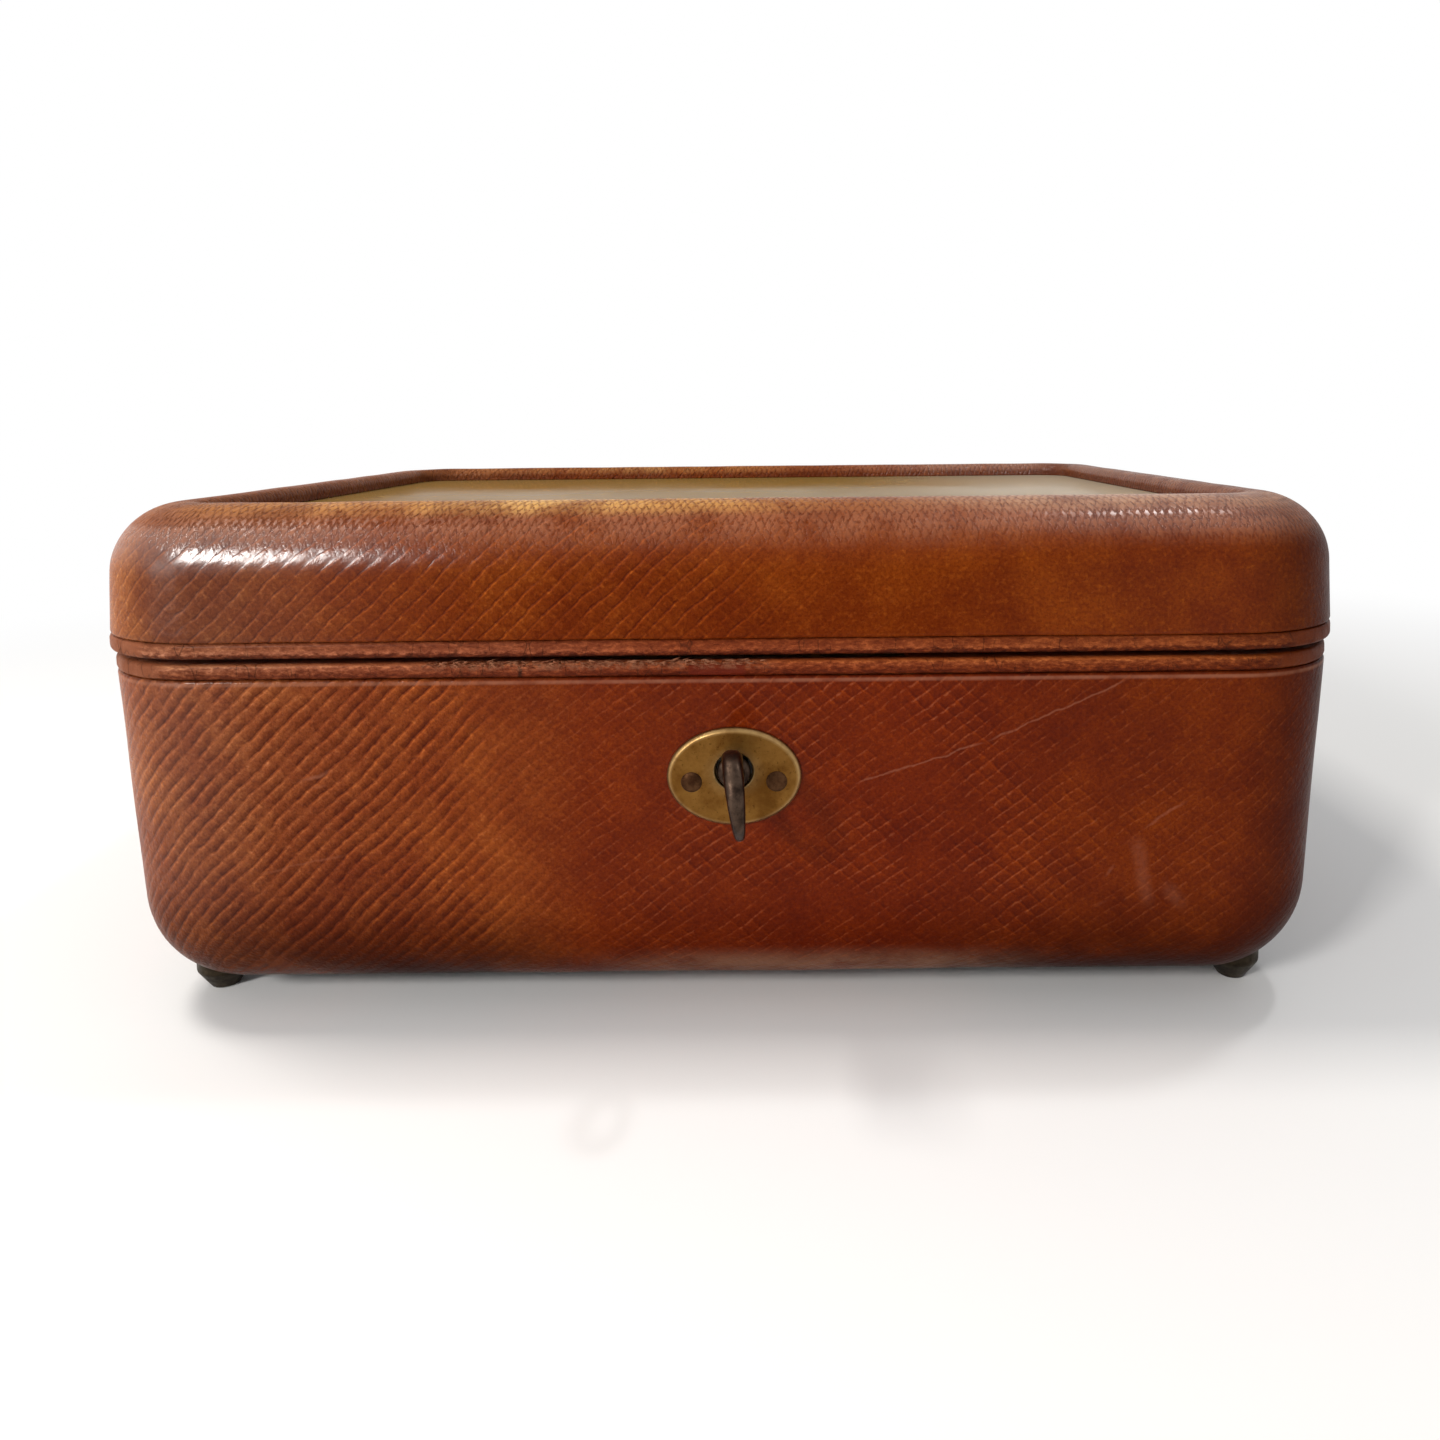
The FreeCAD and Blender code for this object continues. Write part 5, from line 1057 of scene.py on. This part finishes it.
def fibre_tree():
    tree, given = new_tree("frayed fibres", {
        "Count": 320, "Length": 2.0 * MM, "Thickness": 0.17 * MM, "Spread": 0.42 * MM, "Seed": 7})
    line = value(tree, "GeometryNodeMeshToCurve", {"Mesh": given["Geometry"]})
    inputs = {"Curve": line, "Count": given["Count"]}
    points = value(tree, "GeometryNodeCurveToPoints", inputs, "Points", mode="COUNT")

    def shaken(step, lowest, highest):
        inputs = {"Min": lowest, "Max": highest, "Seed": given["Seed"] + step}
        return value(tree, "FunctionNodeRandomValue", inputs, data_type="FLOAT_VECTOR")

    shake = shaken(0, (-4.0, -0.9, -1.6), (4.0, 0.2, 0.9))
    away = value(tree, "ShaderNodeVectorMath", {0: shake, "Scale": given["Spread"]}, operation="SCALE")
    points = value(tree, "GeometryNodeSetPosition", {"Geometry": points, "Offset": away})
    sliver = value(tree, "GeometryNodeMeshCone", {
        "Vertices": 5, "Radius Top": 0.0, "Radius Bottom": given["Thickness"], "Depth": given["Length"]}, "Mesh")
    turn = shaken(1, (-0.35, 1.2, -0.3), (0.35, 1.95, 0.3))
    scale = shaken(2, (0.6, 0.6, 0.25), (1.5, 1.5, 1.0))
    return end_tree(tree, given, points, (sliver,), Rotation=turn, Scale=scale)


def frayed_leather():
    r = Recipe("frayed leather", Roughness=0.8, Specular_IOR_Level=0.1)
    place = r.object_place()
    colour = r.mix(r.ease(r.noise(place, 1.4), 0.35, 0.65), (0.30, 0.12, 0.062), (0.12, 0.026, 0.009))
    return r.done(colour, r.ease(r.noise(place, 0.5, 2.0), 0.3, 0.7, 0.7, 0.9))


FRAYED = frayed_leather()
edge_line = [(x, -CORNER_Y - BASE_RADIUS + 0.42, BASE_RIM - 0.25)
             for x in np.linspace(FRAYED_FROM, FRAYED_TO, FRAYED_POINTS)]
links = [(k, k + 1) for k in range(FRAYED_POINTS - 1)]
fibres = grown(fibre_tree(), "frayed_fibres", edge_line, FRAYED, edges=links)
finish_piece(fibres, FRAYED, "rim_leather", "base")

# %% [markdown]
# ## The key
# A barrel key: a hollow shank, a small flat bit, a turned collar and a ring bow, which the camera sees edge on.
# The turned part is a lathe shape. The bow is an oval section carried round a circle, thick at the top and thin
# at the bottom, where its tip is painted bright as a highlight, and it hangs a little out of true, as on the real key.

# %% Turned part of the key
TURNED_SIDES = 40
BARREL_END, BOW_FRONT = high("key", Y), low("key", Y)
FACE_Y = -CORNER_Y - base_radius(KEY_Z)
COLLAR_FRONT = FACE_Y - 2.2
NECK_FRONT = COLLAR_FRONT - 4.6
BORE_END = BARREL_END - 9.7

key_profile = [
    (0.0, NECK_FRONT - 0.1), (1.5, NECK_FRONT), (1.9, NECK_FRONT + 1.0), (2.0, COLLAR_FRONT - 0.6),
    (2.2, COLLAR_FRONT - 0.15), (2.8, COLLAR_FRONT), (3.15, FACE_Y - 1.9), (3.15, FACE_Y - 1.4), (2.85, FACE_Y - 1.2),
    (2.85, FACE_Y - 0.95), (3.15, FACE_Y - 0.75), (3.15, FACE_Y - 0.25), (2.9, FACE_Y), (2.5, FACE_Y + 0.1),
    (2.5, BARREL_END - 0.2), (2.3, BARREL_END), (1.3, BARREL_END), (1.3, BORE_END), (0.0, BORE_END)]
circle = [2 * math.pi * k / TURNED_SIDES for k in range(TURNED_SIDES)]
key_points = [
    (LOCK_X + radius * math.cos(angle), y, KEY_Z + radius * math.sin(angle))
    for radius, y in key_profile for angle in circle]
key_faces = ring_faces(len(key_profile), TURNED_SIDES)
print(f"shank: {len(key_points)} points")

# %% Bow of the key
AROUND, SECTION, KEY_LEAN, KEY_SWING = 72, 20, math.radians(5.0), 0.072
BOW_RADIUS, BOW_HOLE, BOW_THICK, BOW_THIN, SQUARENESS = 8.0, 4.9, 1.85, 0.95, 0.75
BOW_MIDDLE = BOW_FRONT + BOW_RADIUS


def flattened(part):
    """A cosine or sine that makes an ellipse a little squarer."""
    return math.copysign(abs(part) ** SQUARENESS, part)


key_faces += ring_faces(AROUND, SECTION, closed=True, first=len(key_points))
for k in range(AROUND):
    angle = 2 * math.pi * k / AROUND
    lowness = ((1 - math.sin(angle)) / 2) ** 1.5
    half_thick = BOW_THICK * (1 - lowness) + BOW_THIN * lowness
    for s in range(SECTION):
        turn = 2 * math.pi * s / SECTION
        thick = half_thick * flattened(math.sin(turn))
        radius = (BOW_RADIUS + BOW_HOLE) / 2 + (BOW_RADIUS - BOW_HOLE) / 2 * flattened(math.cos(turn))
        y, rise = BOW_MIDDLE + radius * math.cos(angle), radius * math.sin(angle)
        lean = KEY_LEAN * min(1.0, max(0.0, (NECK_FRONT - y) / 6.0))
        key_points.append((LOCK_X + thick * math.cos(lean) - rise * math.sin(lean), y,
                           KEY_Z + rise * math.cos(lean) + thick * math.sin(lean)))
key_points = [(x + max(0.0, COLLAR_FRONT - y) * KEY_SWING, y, z) for x, y, z in key_points]
print(f"with its bow: {len(key_points)} points")

# %% Bit, and the whole key
BIT_HALF, BIT_LONG, BIT_TOP, BIT_FOOT, BIT_BACK = 0.75, 4.0, 1.8, 7.2, 0.2
PAINTED_HIGHLIGHT_TIP = 1.6

bit_back = BARREL_END - BIT_BACK
bit_points, bit_faces = block(
    np.array((LOCK_X - BIT_HALF, bit_back - BIT_LONG, KEY_Z - BIT_FOOT)),
    np.array((LOCK_X + BIT_HALF, bit_back, KEY_Z - BIT_TOP)), rounding=0.2, segments=2)
key_faces += [tuple(len(key_points) + k for k in face) for face in bit_faces]
key = new_piece("barrel_key", key_points + bit_points, key_faces)
with editing(key.data) as work:
    bmesh.ops.remove_doubles(work, verts=work.verts, dist=1e-6)
    bmesh.ops.recalc_face_normals(work, faces=work.faces)
key_places = [v.co / MM for v in key.data.vertices]
# The bow's lowest tip is painted bright as a highlight, through the rubbed attribute.
mark_rubbed(key, [max(0.0, 1 - (z - KEY_Z + BOW_RADIUS) / PAINTED_HIGHLIGHT_TIP) * (y < NECK_FRONT) for _, y, z in key_places])
finish_piece(key, KEY_STEEL, "key_steel", "key", "key")

# %% [markdown]
# ## Velvet, cloth and wood
# Inside, the case is lined with short-pile velvet the colour of wine. Velvet is dull face on and lights up
# where it turns away, which the sheen of the shader gives. The pile lies this way and that, so its tone comes in
# soft patches. The boards are plain sawn wood, with the grain along each board.

# %% Soft finishes and wood
def velvet(name, colour, crushed):
    r = Recipe(name, Roughness=0.9, Specular_IOR_Level=0.15, Sheen_Weight=0.6, Sheen_Roughness=0.35,
               Sheen_Tint=(0.9, 0.45, 0.45, 1.0))
    place = r.object_place()
    nap = r.noise(place, crushed)
    pile = r.noise(place, 0.35, 2.0, 0.7)
    lighter, darker = (tuple(c * k for c in colour) for k in (1.35, 0.6))
    tone = r.mix(r.ease(nap, 0.3, 0.7), lighter, darker)
    tone = r.tint(r.ease(pile, 0.35, 0.65, 0.45, 0.0), tone, (0.35, 0.3, 0.3))
    return r.done(tone, None, pile * 0.12 + nap * 0.4)


def wood(name, *along):
    r = Recipe(name, Specular_IOR_Level=0.3)
    place = r.stretched(r.object_place(), *along)
    rings = r.noise(place, 3.2, 4.0, 0.6)
    fibres = r.noise(place, 0.45, 3.0, 0.6)
    colour = r.ramp(rings, (0.3, (0.26, 0.14, 0.065)), (0.5, (0.36, 0.21, 0.10)), (0.7, (0.22, 0.115, 0.05)))
    colour = r.tint(r.ease(fibres, 0.4, 0.7, 0.0, 0.5), colour, (0.55, 0.5, 0.45))
    return r.done(colour, r.ease(fibres, 0.3, 0.7, 0.55, 0.75), fibres * 0.1)


def bound_cloth():
    r = Recipe("underside cloth", Roughness=0.85, Specular_IOR_Level=0.2)
    place = r.object_place()
    x, y, _ = r.split(place)
    warp, weft = ((way * 2.2).sum("PINGPONG", 1.0) for way in (x, y))
    weave = warp * weft
    colour = r.mix(r.noise(place, 12.0, 4.0), (0.06, 0.038, 0.028), (0.035, 0.022, 0.017))
    colour = r.mix(weave * 0.5, colour, (0.11, 0.075, 0.058))
    return r.done(colour, None, weave * 0.12)


def tray_leather():
    r = Recipe("tray leather", Specular_IOR_Level=0.25)
    place = r.object_place()
    mottle = r.noise(place, 11.0, 5.0)
    pebble = r.ease(r.cells(place, 0.9), 0.05, 0.5)
    colour = r.mix(r.ease(mottle, 0.3, 0.7), (0.20, 0.042, 0.012), (0.12, 0.022, 0.007))
    colour = r.mix(0.4 - pebble * 0.4, colour, (0.04, 0.012, 0.006))
    return r.done(colour, r.ease(mottle, 0.3, 0.7, 0.36, 0.5), pebble * 0.08)


VELVET = velvet("wine velvet", (0.075, 0.010, 0.016), 16.0)
ROLL_VELVET = velvet("ring roll velvet", (0.095, 0.013, 0.020), 7.0)
WOOD_ACROSS = wood("wood across", 0.06, 1.0, 1.0)
WOOD_ALONG = wood("wood front to back", 1.0, 0.06, 1.0)
CLOTH, TRAY_LEATHER = bound_cloth(), tray_leather()

# %% [markdown]
# ## Linings and tray
# The linings and the lift-out tray follow the same rounded plan as the outside, so they are swept too, with
# soft corners where the velvet turns and a rounded top edge on the tray. The floors close in the middle.

# %% Linings and tray
CARD_INNER = 14.9


def lined_box(name, inner, outer, floor_z, foot_z, top_z, soft):
    """A box's section from the middle of its floor, up the inside, over the edge and back underneath."""
    edge = (outer - inner) / 2
    section = [(0.0, floor_z, share) for share in (0.0, 0.5, 0.9)]
    section += [(inner - soft, floor_z)]
    section += bow((inner - soft, floor_z + soft), soft, -90, 0, 5)
    section += run((inner, floor_z + soft), (inner, top_z - edge), 5)
    section += bow((inner + edge, top_z - edge), edge, 180, 0, 8)
    section += run((outer, top_z - edge), (outer, foot_z), 3)
    section += [(outer, foot_z), (0.0, foot_z, 0.9), (0.0, foot_z, 0.0)]
    piece = swept(name, section, ROUND_INSIDE)
    with editing(piece.data) as work:
        bmesh.ops.remove_doubles(work, verts=work.verts, dist=1e-6)
        bmesh.ops.dissolve_degenerate(work, edges=work.edges, dist=1e-6)
    return piece


tray_foot, well_foot = low("tray_shell", Z), low("base_lining", Z)
tray = lined_box("tray_box", 10.7, 13.7, tray_foot + 2.5, tray_foot, high("tray_shell", Z), soft=0.4)
finish_piece(tray, TRAY_LEATHER, "tray_leather", "base", "tray_shell")
tray_velvet = lined_box("tray_velvet", 9.9, 10.68, tray_foot + 3.3, tray_foot + 2.52, high("tray_lining", Z), soft=1.2)
finish_piece(tray_velvet, VELVET, "velvet", "base", "tray_lining")
well_velvet = lined_box("well_velvet", CARD_INNER, HOLLOW_RADIUS - 0.02, well_foot + 1.0, well_foot + 0.02,
                        high("base_lining", Z), soft=2.0)
finish_piece(well_velvet, VELVET, "velvet", "base", "base_lining")

# %% Lining of the lid
BAND_OUTER, BAND_EDGE, BAND_ROUND = 15.88, 0.5, 0.49

lid_low, lid_high = low("lid_lining", Z), high("lid_lining", Z)
band = run((CARD_INNER, lid_low + BAND_EDGE), (CARD_INNER, lid_high), 4)
band += run((CARD_INNER, lid_high), (BAND_OUTER, lid_high), 2)
band += run((BAND_OUTER, lid_high), (BAND_OUTER, lid_low + BAND_EDGE), 4)
band += bow((BAND_OUTER - BAND_ROUND, lid_low + BAND_ROUND), BAND_ROUND, 0, -180, 8)
lid_velvet = swept("lid_velvet", band, ROUND_INSIDE, closed=True)
finish_piece(lid_velvet, VELVET, "velvet", "lid", "lid_lining")

# %% [markdown]
# The dividers are thin boards wrapped in the same velvet, so their edges are round. So are the strips below the tray.

# %% Dividers and tray strips
DIVIDERS = ("divider_left", "divider_right", "cross_left", "cross_right", "cross_middle")
wrapped = [(f"velvet_{divider}", f"tray_{divider}", 1.1) for divider in DIVIDERS]
wrapped += [(f"velvet_rest_{side}", f"tray_support_{side}", 0.7) for side in SIDES]
for name, node, rounding in wrapped:
    board = new_piece(name, *block(*node_box(node), rounding, segments=4))
    finish_piece(board, VELVET, "velvet", "base", node)

# %% [markdown]
# ## The ring rolls
# Five stuffed velvet rolls hold rings in the slits between them. They are cushions, so they are blown up by a
# short cloth simulation: a slack roll is remeshed, its foot is held, and air pressure fills it. How far a point
# may move is capped, so that neighbours stay apart. The simulation runs at ten times the size, which the solver
# likes better, and the result is scaled back.

# %% A slack roll
ROLL_ENDS, ROLL_SIDES = 30, 26


def slack_roll(lowest, highest):
    """A roll a little smaller than its space: flat foot, arched back, rounded ends."""
    middle, size = (lowest + highest) / 2, highest - lowest
    points = []
    for i in range(ROLL_ENDS + 1):
        share = 2.0 * i / ROLL_ENDS - 1.0
        narrow = (1.0 - abs(share) ** 9) ** 0.5
        for k in range(ROLL_SIDES):
            angle = math.pi * (k / (ROLL_SIDES - 1))
            y = -math.cos(angle) * (size[Y] / 2 - 0.55) * (0.55 + 0.45 * narrow)
            z = math.sin(angle) ** 0.55 * (size[Z] - 0.8) * (0.45 + 0.55 * narrow)
            points.append((middle[X] + share * (size[X] / 2 - 0.5), middle[Y] + y, lowest[Z] + 0.05 + z))
    faces = [(a, d, c, b) for a, b, c, d in ring_faces(ROLL_ENDS + 1, ROLL_SIDES)]
    faces += [tuple(range(ROLL_SIDES))[::-1], tuple(ROLL_ENDS * ROLL_SIDES + k for k in range(ROLL_SIDES))]
    return points, faces


# %% Stuffing the rolls
ENLARGE, ROLL_CAP, ROLL_ROOM, ROLL_LUMPS = 10.0, 0.9, 0.06, 0.22
ROLL_FACE, FOOT_HELD, STUFFING_STEPS = 1.9, 1.2, 20


def blow_up(roll, foot):
    """Fills a roll with air, with its foot held."""
    held = roll.vertex_groups.new(name="held")
    held.add([v.index for v in roll.data.vertices if v.co.z < foot], 1.0, "REPLACE")
    stuffing = roll.modifiers.new("stuffing", "CLOTH")
    stuffing.settings.use_pressure = True
    stuffing.settings.uniform_pressure_force = 4.0
    stuffing.settings.vertex_group_mass = "held"
    stuffing.settings.effector_weights.gravity = 0.0
    stuffing.settings.bending_stiffness = 0.4
    stuffing.point_cache.frame_end = STUFFING_STEPS
    for step in range(1, STUFFING_STEPS + 1):
        bpy.context.scene.frame_set(step)
    apply_modifiers(roll)
    bpy.context.scene.frame_set(1)


def stuffed(node, seed):
    lowest, highest = node_box(node)
    points, faces = slack_roll(lowest, highest)
    roll = new_piece(node.replace("ring_roll", "velvet_roll"), np.array(points) * ENLARGE, faces)
    with editing(roll.data) as work:
        bmesh.ops.recalc_face_normals(work, faces=work.faces)
    remesh = roll.modifiers.new("even faces", "REMESH")
    remesh.mode, remesh.voxel_size = "VOXEL", ROLL_FACE * ENLARGE * MM
    apply_modifiers(roll)
    before = np.array([v.co for v in roll.data.vertices])
    blow_up(roll, (lowest[Z] + FOOT_HELD) * ENLARGE * MM)
    moved_by = np.array([v.co for v in roll.data.vertices]) - before
    length = np.linalg.norm(moved_by, axis=1, keepdims=True)
    limit = ROLL_CAP * ENLARGE * MM
    after = (before + moved_by * np.minimum(1.0, limit / np.maximum(length, 1e-9))) / ENLARGE / MM
    for place in after:
        place += ROLL_LUMPS * np.array(noise.noise_vector(Vector(place) / 6.0 + Vector((seed, 0, 0))))
    after = np.clip(after, lowest + ROLL_ROOM, highest - ROLL_ROOM)
    roll.data.vertices.foreach_set("co", (after * MM).ravel())
    roll.data.polygons.foreach_set("use_smooth", [True] * len(roll.data.polygons))
    roll.vertex_groups.clear()
    soften = roll.modifiers.new("soften", "SUBSURF")
    soften.levels = soften.render_levels = 1
    print(f"{node}: points moved up to {length.max() / ENLARGE / MM:.2f} mm")
    return apply_modifiers(roll)


# %% Ring rolls
for number in range(1, 6):
    roll = stuffed(f"ring_roll_{number}", 3.7 * number)
    finish_piece(roll, ROLL_VELVET, "ring_roll_velvet", "base", f"ring_roll_{number}")

# %% [markdown]
# ## The glass
# The pane is old and dusty. Seen almost along its surface, as the camera sees it, light has a long way through the
# film of dust, so the film hides what lies below, while from above the glass is clear. The film's olive colour
# stands in partly for the room mirrored in the glass, so it is partly a painted reflection. Layer Weight tells how
# far the surface is turned away, and drives how much light passes. Clear glass would also mirror the white room at
# that angle, so its gloss is weak. The film is paler towards the right, which is a painted reflection.

# %% Glass finish
FILM_AND_REFLECTION_TONES = [(0.1, (0.31, 0.180, 0.055)), (0.6, (0.29, 0.180, 0.050)), (0.95, (0.52, 0.42, 0.30))]
FILM_FROM, FILM_FULL = 0.25, 0.85


def dusty_glass():
    r = Recipe("dusty glass", IOR=1.015)
    place = r.object_place()
    haze = r.noise(place, 45.0)
    dust = r.noise(place, 0.9, 3.0, 0.6)
    # The film's colour is partly dust and partly a painted reflection of the room, paler at the right.
    film_and_reflection = r.across_case(r.split(place)[X], FILM_AND_REFLECTION_TONES, span=230.0)
    film_and_reflection = r.tint(r.ease(haze, 0.35, 0.65, 0.0, 0.5), film_and_reflection, (0.86, 0.86, 0.84))
    film_and_reflection = r.mix(r.ease(dust, 0.6, 0.75, 0.0, 0.12), film_and_reflection, (0.6, 0.52, 0.4))
    turned = r.value("ShaderNodeLayerWeight", {"Blend": 0.5}, "Facing")
    seen = r.mix(r.ease(turned, FILM_FROM, FILM_FULL), (0.9, 0.92, 0.88), film_and_reflection)
    feed(r.tree, r.surface.inputs["Transmission Weight"], r.ease(turned, FILM_FROM, FILM_FULL, 0.985, 0.30))
    return r.done(seen, r.ease(haze, 0.3, 0.7, 0.06, 0.14))


GLASS = dusty_glass()

# %% [markdown]
# ## The cloth under the base
# A piece of bookcloth is glued over the raw edges of the leather, where nobody looks. It is a thin sheet with a soft
# edge, so rings of one rounded outline are enough: down its rim, over the edge and inwards.

# %% Underside cloth
CLOTH_WIDTH, CLOTH_DEPTH, CLOTH_CORNER = high("underside_cover", X) * 2, high("underside_cover", Y) * 2, 8.0
CORNER_POINTS = 13


def rounded(inset, z):
    """A rounded rectangle, inset from the cloth's edge."""
    corner = max(CLOTH_CORNER - inset, 0.5)
    past = 90 * CORNER_POINTS / (CORNER_POINTS - 1)
    points = []
    for facing, across, along in ((0, 1, 1), (90, -1, 1), (180, -1, -1), (270, 1, -1)):
        x, y = across * (CLOTH_WIDTH / 2 - inset - corner), along * (CLOTH_DEPTH / 2 - inset - corner)
        points += [(x + a, y + b, z) for a, b in bow((0.0, 0.0), corner, facing, facing + past, CORNER_POINTS)]
    return points


cloth_low, cloth_high = low("underside_cover", Z), high("underside_cover", Z)
cloth_rings = [rounded(0.0, cloth_high), rounded(0.0, cloth_low + 0.3), rounded(0.1, cloth_low + 0.1)]
cloth_rings += [rounded(inset, cloth_low) for inset in (0.35, 6.0, 20.0, 40.0)]
around = len(cloth_rings[0])
cloth_faces = ring_faces(len(cloth_rings), around)
cloth_faces.append(tuple((len(cloth_rings) - 1) * around + k for k in reversed(range(around))))
cloth = new_piece("underside_cloth", [p for ring in cloth_rings for p in ring], cloth_faces)
finish_piece(cloth, CLOTH, "underside_cloth", "base", "underside_cover")
print(f"cloth {CLOTH_WIDTH:.1f} by {CLOTH_DEPTH:.1f} mm")

# %% [markdown]
# ## Finishes for the CAD nodes
# Boards, beads, hinges, the lock and the feet are right as they were drawn, so they only get their finish.

# %% Dress the CAD nodes
ENDS = ("front", "back")


def dress(finish, *names):
    for name in names:
        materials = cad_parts[name].data.materials
        materials.clear()
        materials.append(finish)


WOODEN = ("base_board", "lid_rail", "glazing_bead")
dress(WOOD_ACROSS, "base_board_bottom", *(f"{part}_{end}" for part in WOODEN for end in ENDS))
dress(WOOD_ALONG, *(f"{part}_{side}" for part in WOODEN for side in SIDES))
dress(BRASS, "lock_selvedge", "strike_plate",
      *(f"hinge_{part}_leaf_{side}" for part in ("base", "lid") for side in SIDES))
dress(LOCK_STEEL, "lock_case", "lock_cap", "lock_bolt", "drill_pin")
dress(SCREW_STEEL, *(f"hinge_pin_{side}" for side in SIDES))
dress(FOOT_BRONZE, *(f"foot_{end}_{side}" for end in ENDS for side in SIDES))
dress(GLASS, "glass_pane")
bare = [name for name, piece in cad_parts.items() if not piece.hide_render and not piece.data.materials]
print("CAD nodes without a finish:", bare)

# %% [markdown]
# ## The stage
# The photograph was taken close up with a wide lens, a little above the lid. The floor and the world are white,
# as behind a cut-out. The world is brighter to the camera and in reflections than it is as a light, so that the
# background is white while the case is lit at a plain level.

# %% Floor
FLOOR_HALF, WHITE_FROM, WHITE_FULL = 3000, 220.0, 620.0


def shown_rays(tree):
    """One for the rays that show the room: from the camera, in gloss and through glass."""
    rays = add(tree, "ShaderNodeLightPath", {}).outputs
    eye, gloss, through = (Value(tree, rays[f"Is {kind} Ray"]) for kind in ("Camera", "Glossy", "Transmission"))
    return eye.sum("MAXIMUM", gloss).sum("MAXIMUM", through)


def floor_finish():
    r = Recipe("floor", Roughness=0.7, Specular_IOR_Level=0.1)
    place = r.object_place()
    material = r.done(r.mix(r.noise(place, 400.0, 2.0), (0.93, 0.93, 0.93), (0.97, 0.97, 0.97)))
    distance = r.value("ShaderNodeVectorMath", {0: place}, "Value", operation="LENGTH")
    white_out = r.ease(distance, WHITE_FROM, WHITE_FULL) * shown_rays(r.tree)
    glow = r.value("ShaderNodeEmission", {"Color": (1.0, 1.0, 1.0, 1.0), "Strength": 1.0})
    blended = r.value("ShaderNodeMixShader", {0: white_out, 1: Value(r.tree, r.surface.outputs[0]), 2: glow})
    feed(r.tree, r.tree.nodes["Material Output"].inputs["Surface"], blended)
    return material


corners = [(x * FLOOR_HALF, y * FLOOR_HALF, 0) for x, y in ((-1, -1), (1, -1), (1, 1), (-1, 1))]
floor = new_piece("floor", corners, [(0, 1, 2, 3)])
floor.data.materials.append(floor_finish())

# %% [markdown]
# Four lamps light the case. The window, at the left front, lights the face and makes the white gleam on the lid's
# left shoulder. The ceiling brightens the crest. A small skylight makes the sparkle on the right end of the crest,
# and the room is a large soft light from the left.

# %% World and lamps
WORLD_LIGHT, WORLD_SHOWN = 0.42, 1.0

world = bpy.data.worlds.new("white room")
bpy.context.scene.world = world
world.use_nodes = True
room = world.node_tree
strength = value(room, "ShaderNodeMapRange", {"Value": shown_rays(room), "To Min": WORLD_LIGHT, "To Max": WORLD_SHOWN})
feed(room, room.nodes["Background"].inputs["Strength"], strength)
room.nodes["Background"].inputs["Color"].default_value = (1.0, 1.0, 1.0, 1.0)


def lamp(name, power, size, place, aim, colour=(1.0, 1.0, 1.0)):
    light = bpy.data.lights.new(name, "AREA")
    light.energy, light.size, light.color = power, size * MM, colour
    made = bpy.data.objects.new(name, light)
    made.location = Vector(place) * MM
    made.rotation_euler = (Vector(place) - Vector(aim)).to_track_quat("Z", "Y").to_euler()
    bpy.context.scene.collection.objects.link(made)
    print(f"{name}: {power} W, {size} mm")


lamp("window", 5.0, 150, (-539, -772, 485), (-60, -88, 85), (1.0, 0.98, 0.95))
lamp("ceiling", 4.0, 220, (-440, -30, 880), (-40, -80, 98), (1.0, 0.96, 0.90))
lamp("skylight", 1.0, 60, (365, 60, 890), (88, -80, 102))
lamp("room", 3.0, 600, (-1000, -800, 120), (-100, -85, 55), (1.0, 0.97, 0.94))

# %% Camera
LENS, SENSOR, SHIFT = 26.0, 36.0, (-0.0427, -0.1401)
CAMERA_PLACE, LOOK_DOWN, ROLL = (12.6, -285.6, 121.05), 5.29, -0.55

camera_data = bpy.data.cameras.new("camera")
camera_data.lens, camera_data.sensor_width = LENS, SENSOR
camera_data.shift_x, camera_data.shift_y = SHIFT
camera_data.clip_start = 0.01
camera = bpy.data.objects.new("camera", camera_data)
camera.location = Vector(CAMERA_PLACE) * MM
tilt = Euler((math.radians(90 - LOOK_DOWN), 0, 0)).to_matrix() @ Matrix.Rotation(math.radians(ROLL), 3, "Z")
camera.rotation_euler = tilt.to_euler()
bpy.context.scene.collection.objects.link(camera)
bpy.context.scene.camera = camera
bpy.context.scene.view_settings.view_transform = "Standard"
print(f"camera at {[round(c / MM) for c in camera.location]} mm, lens {LENS} mm")
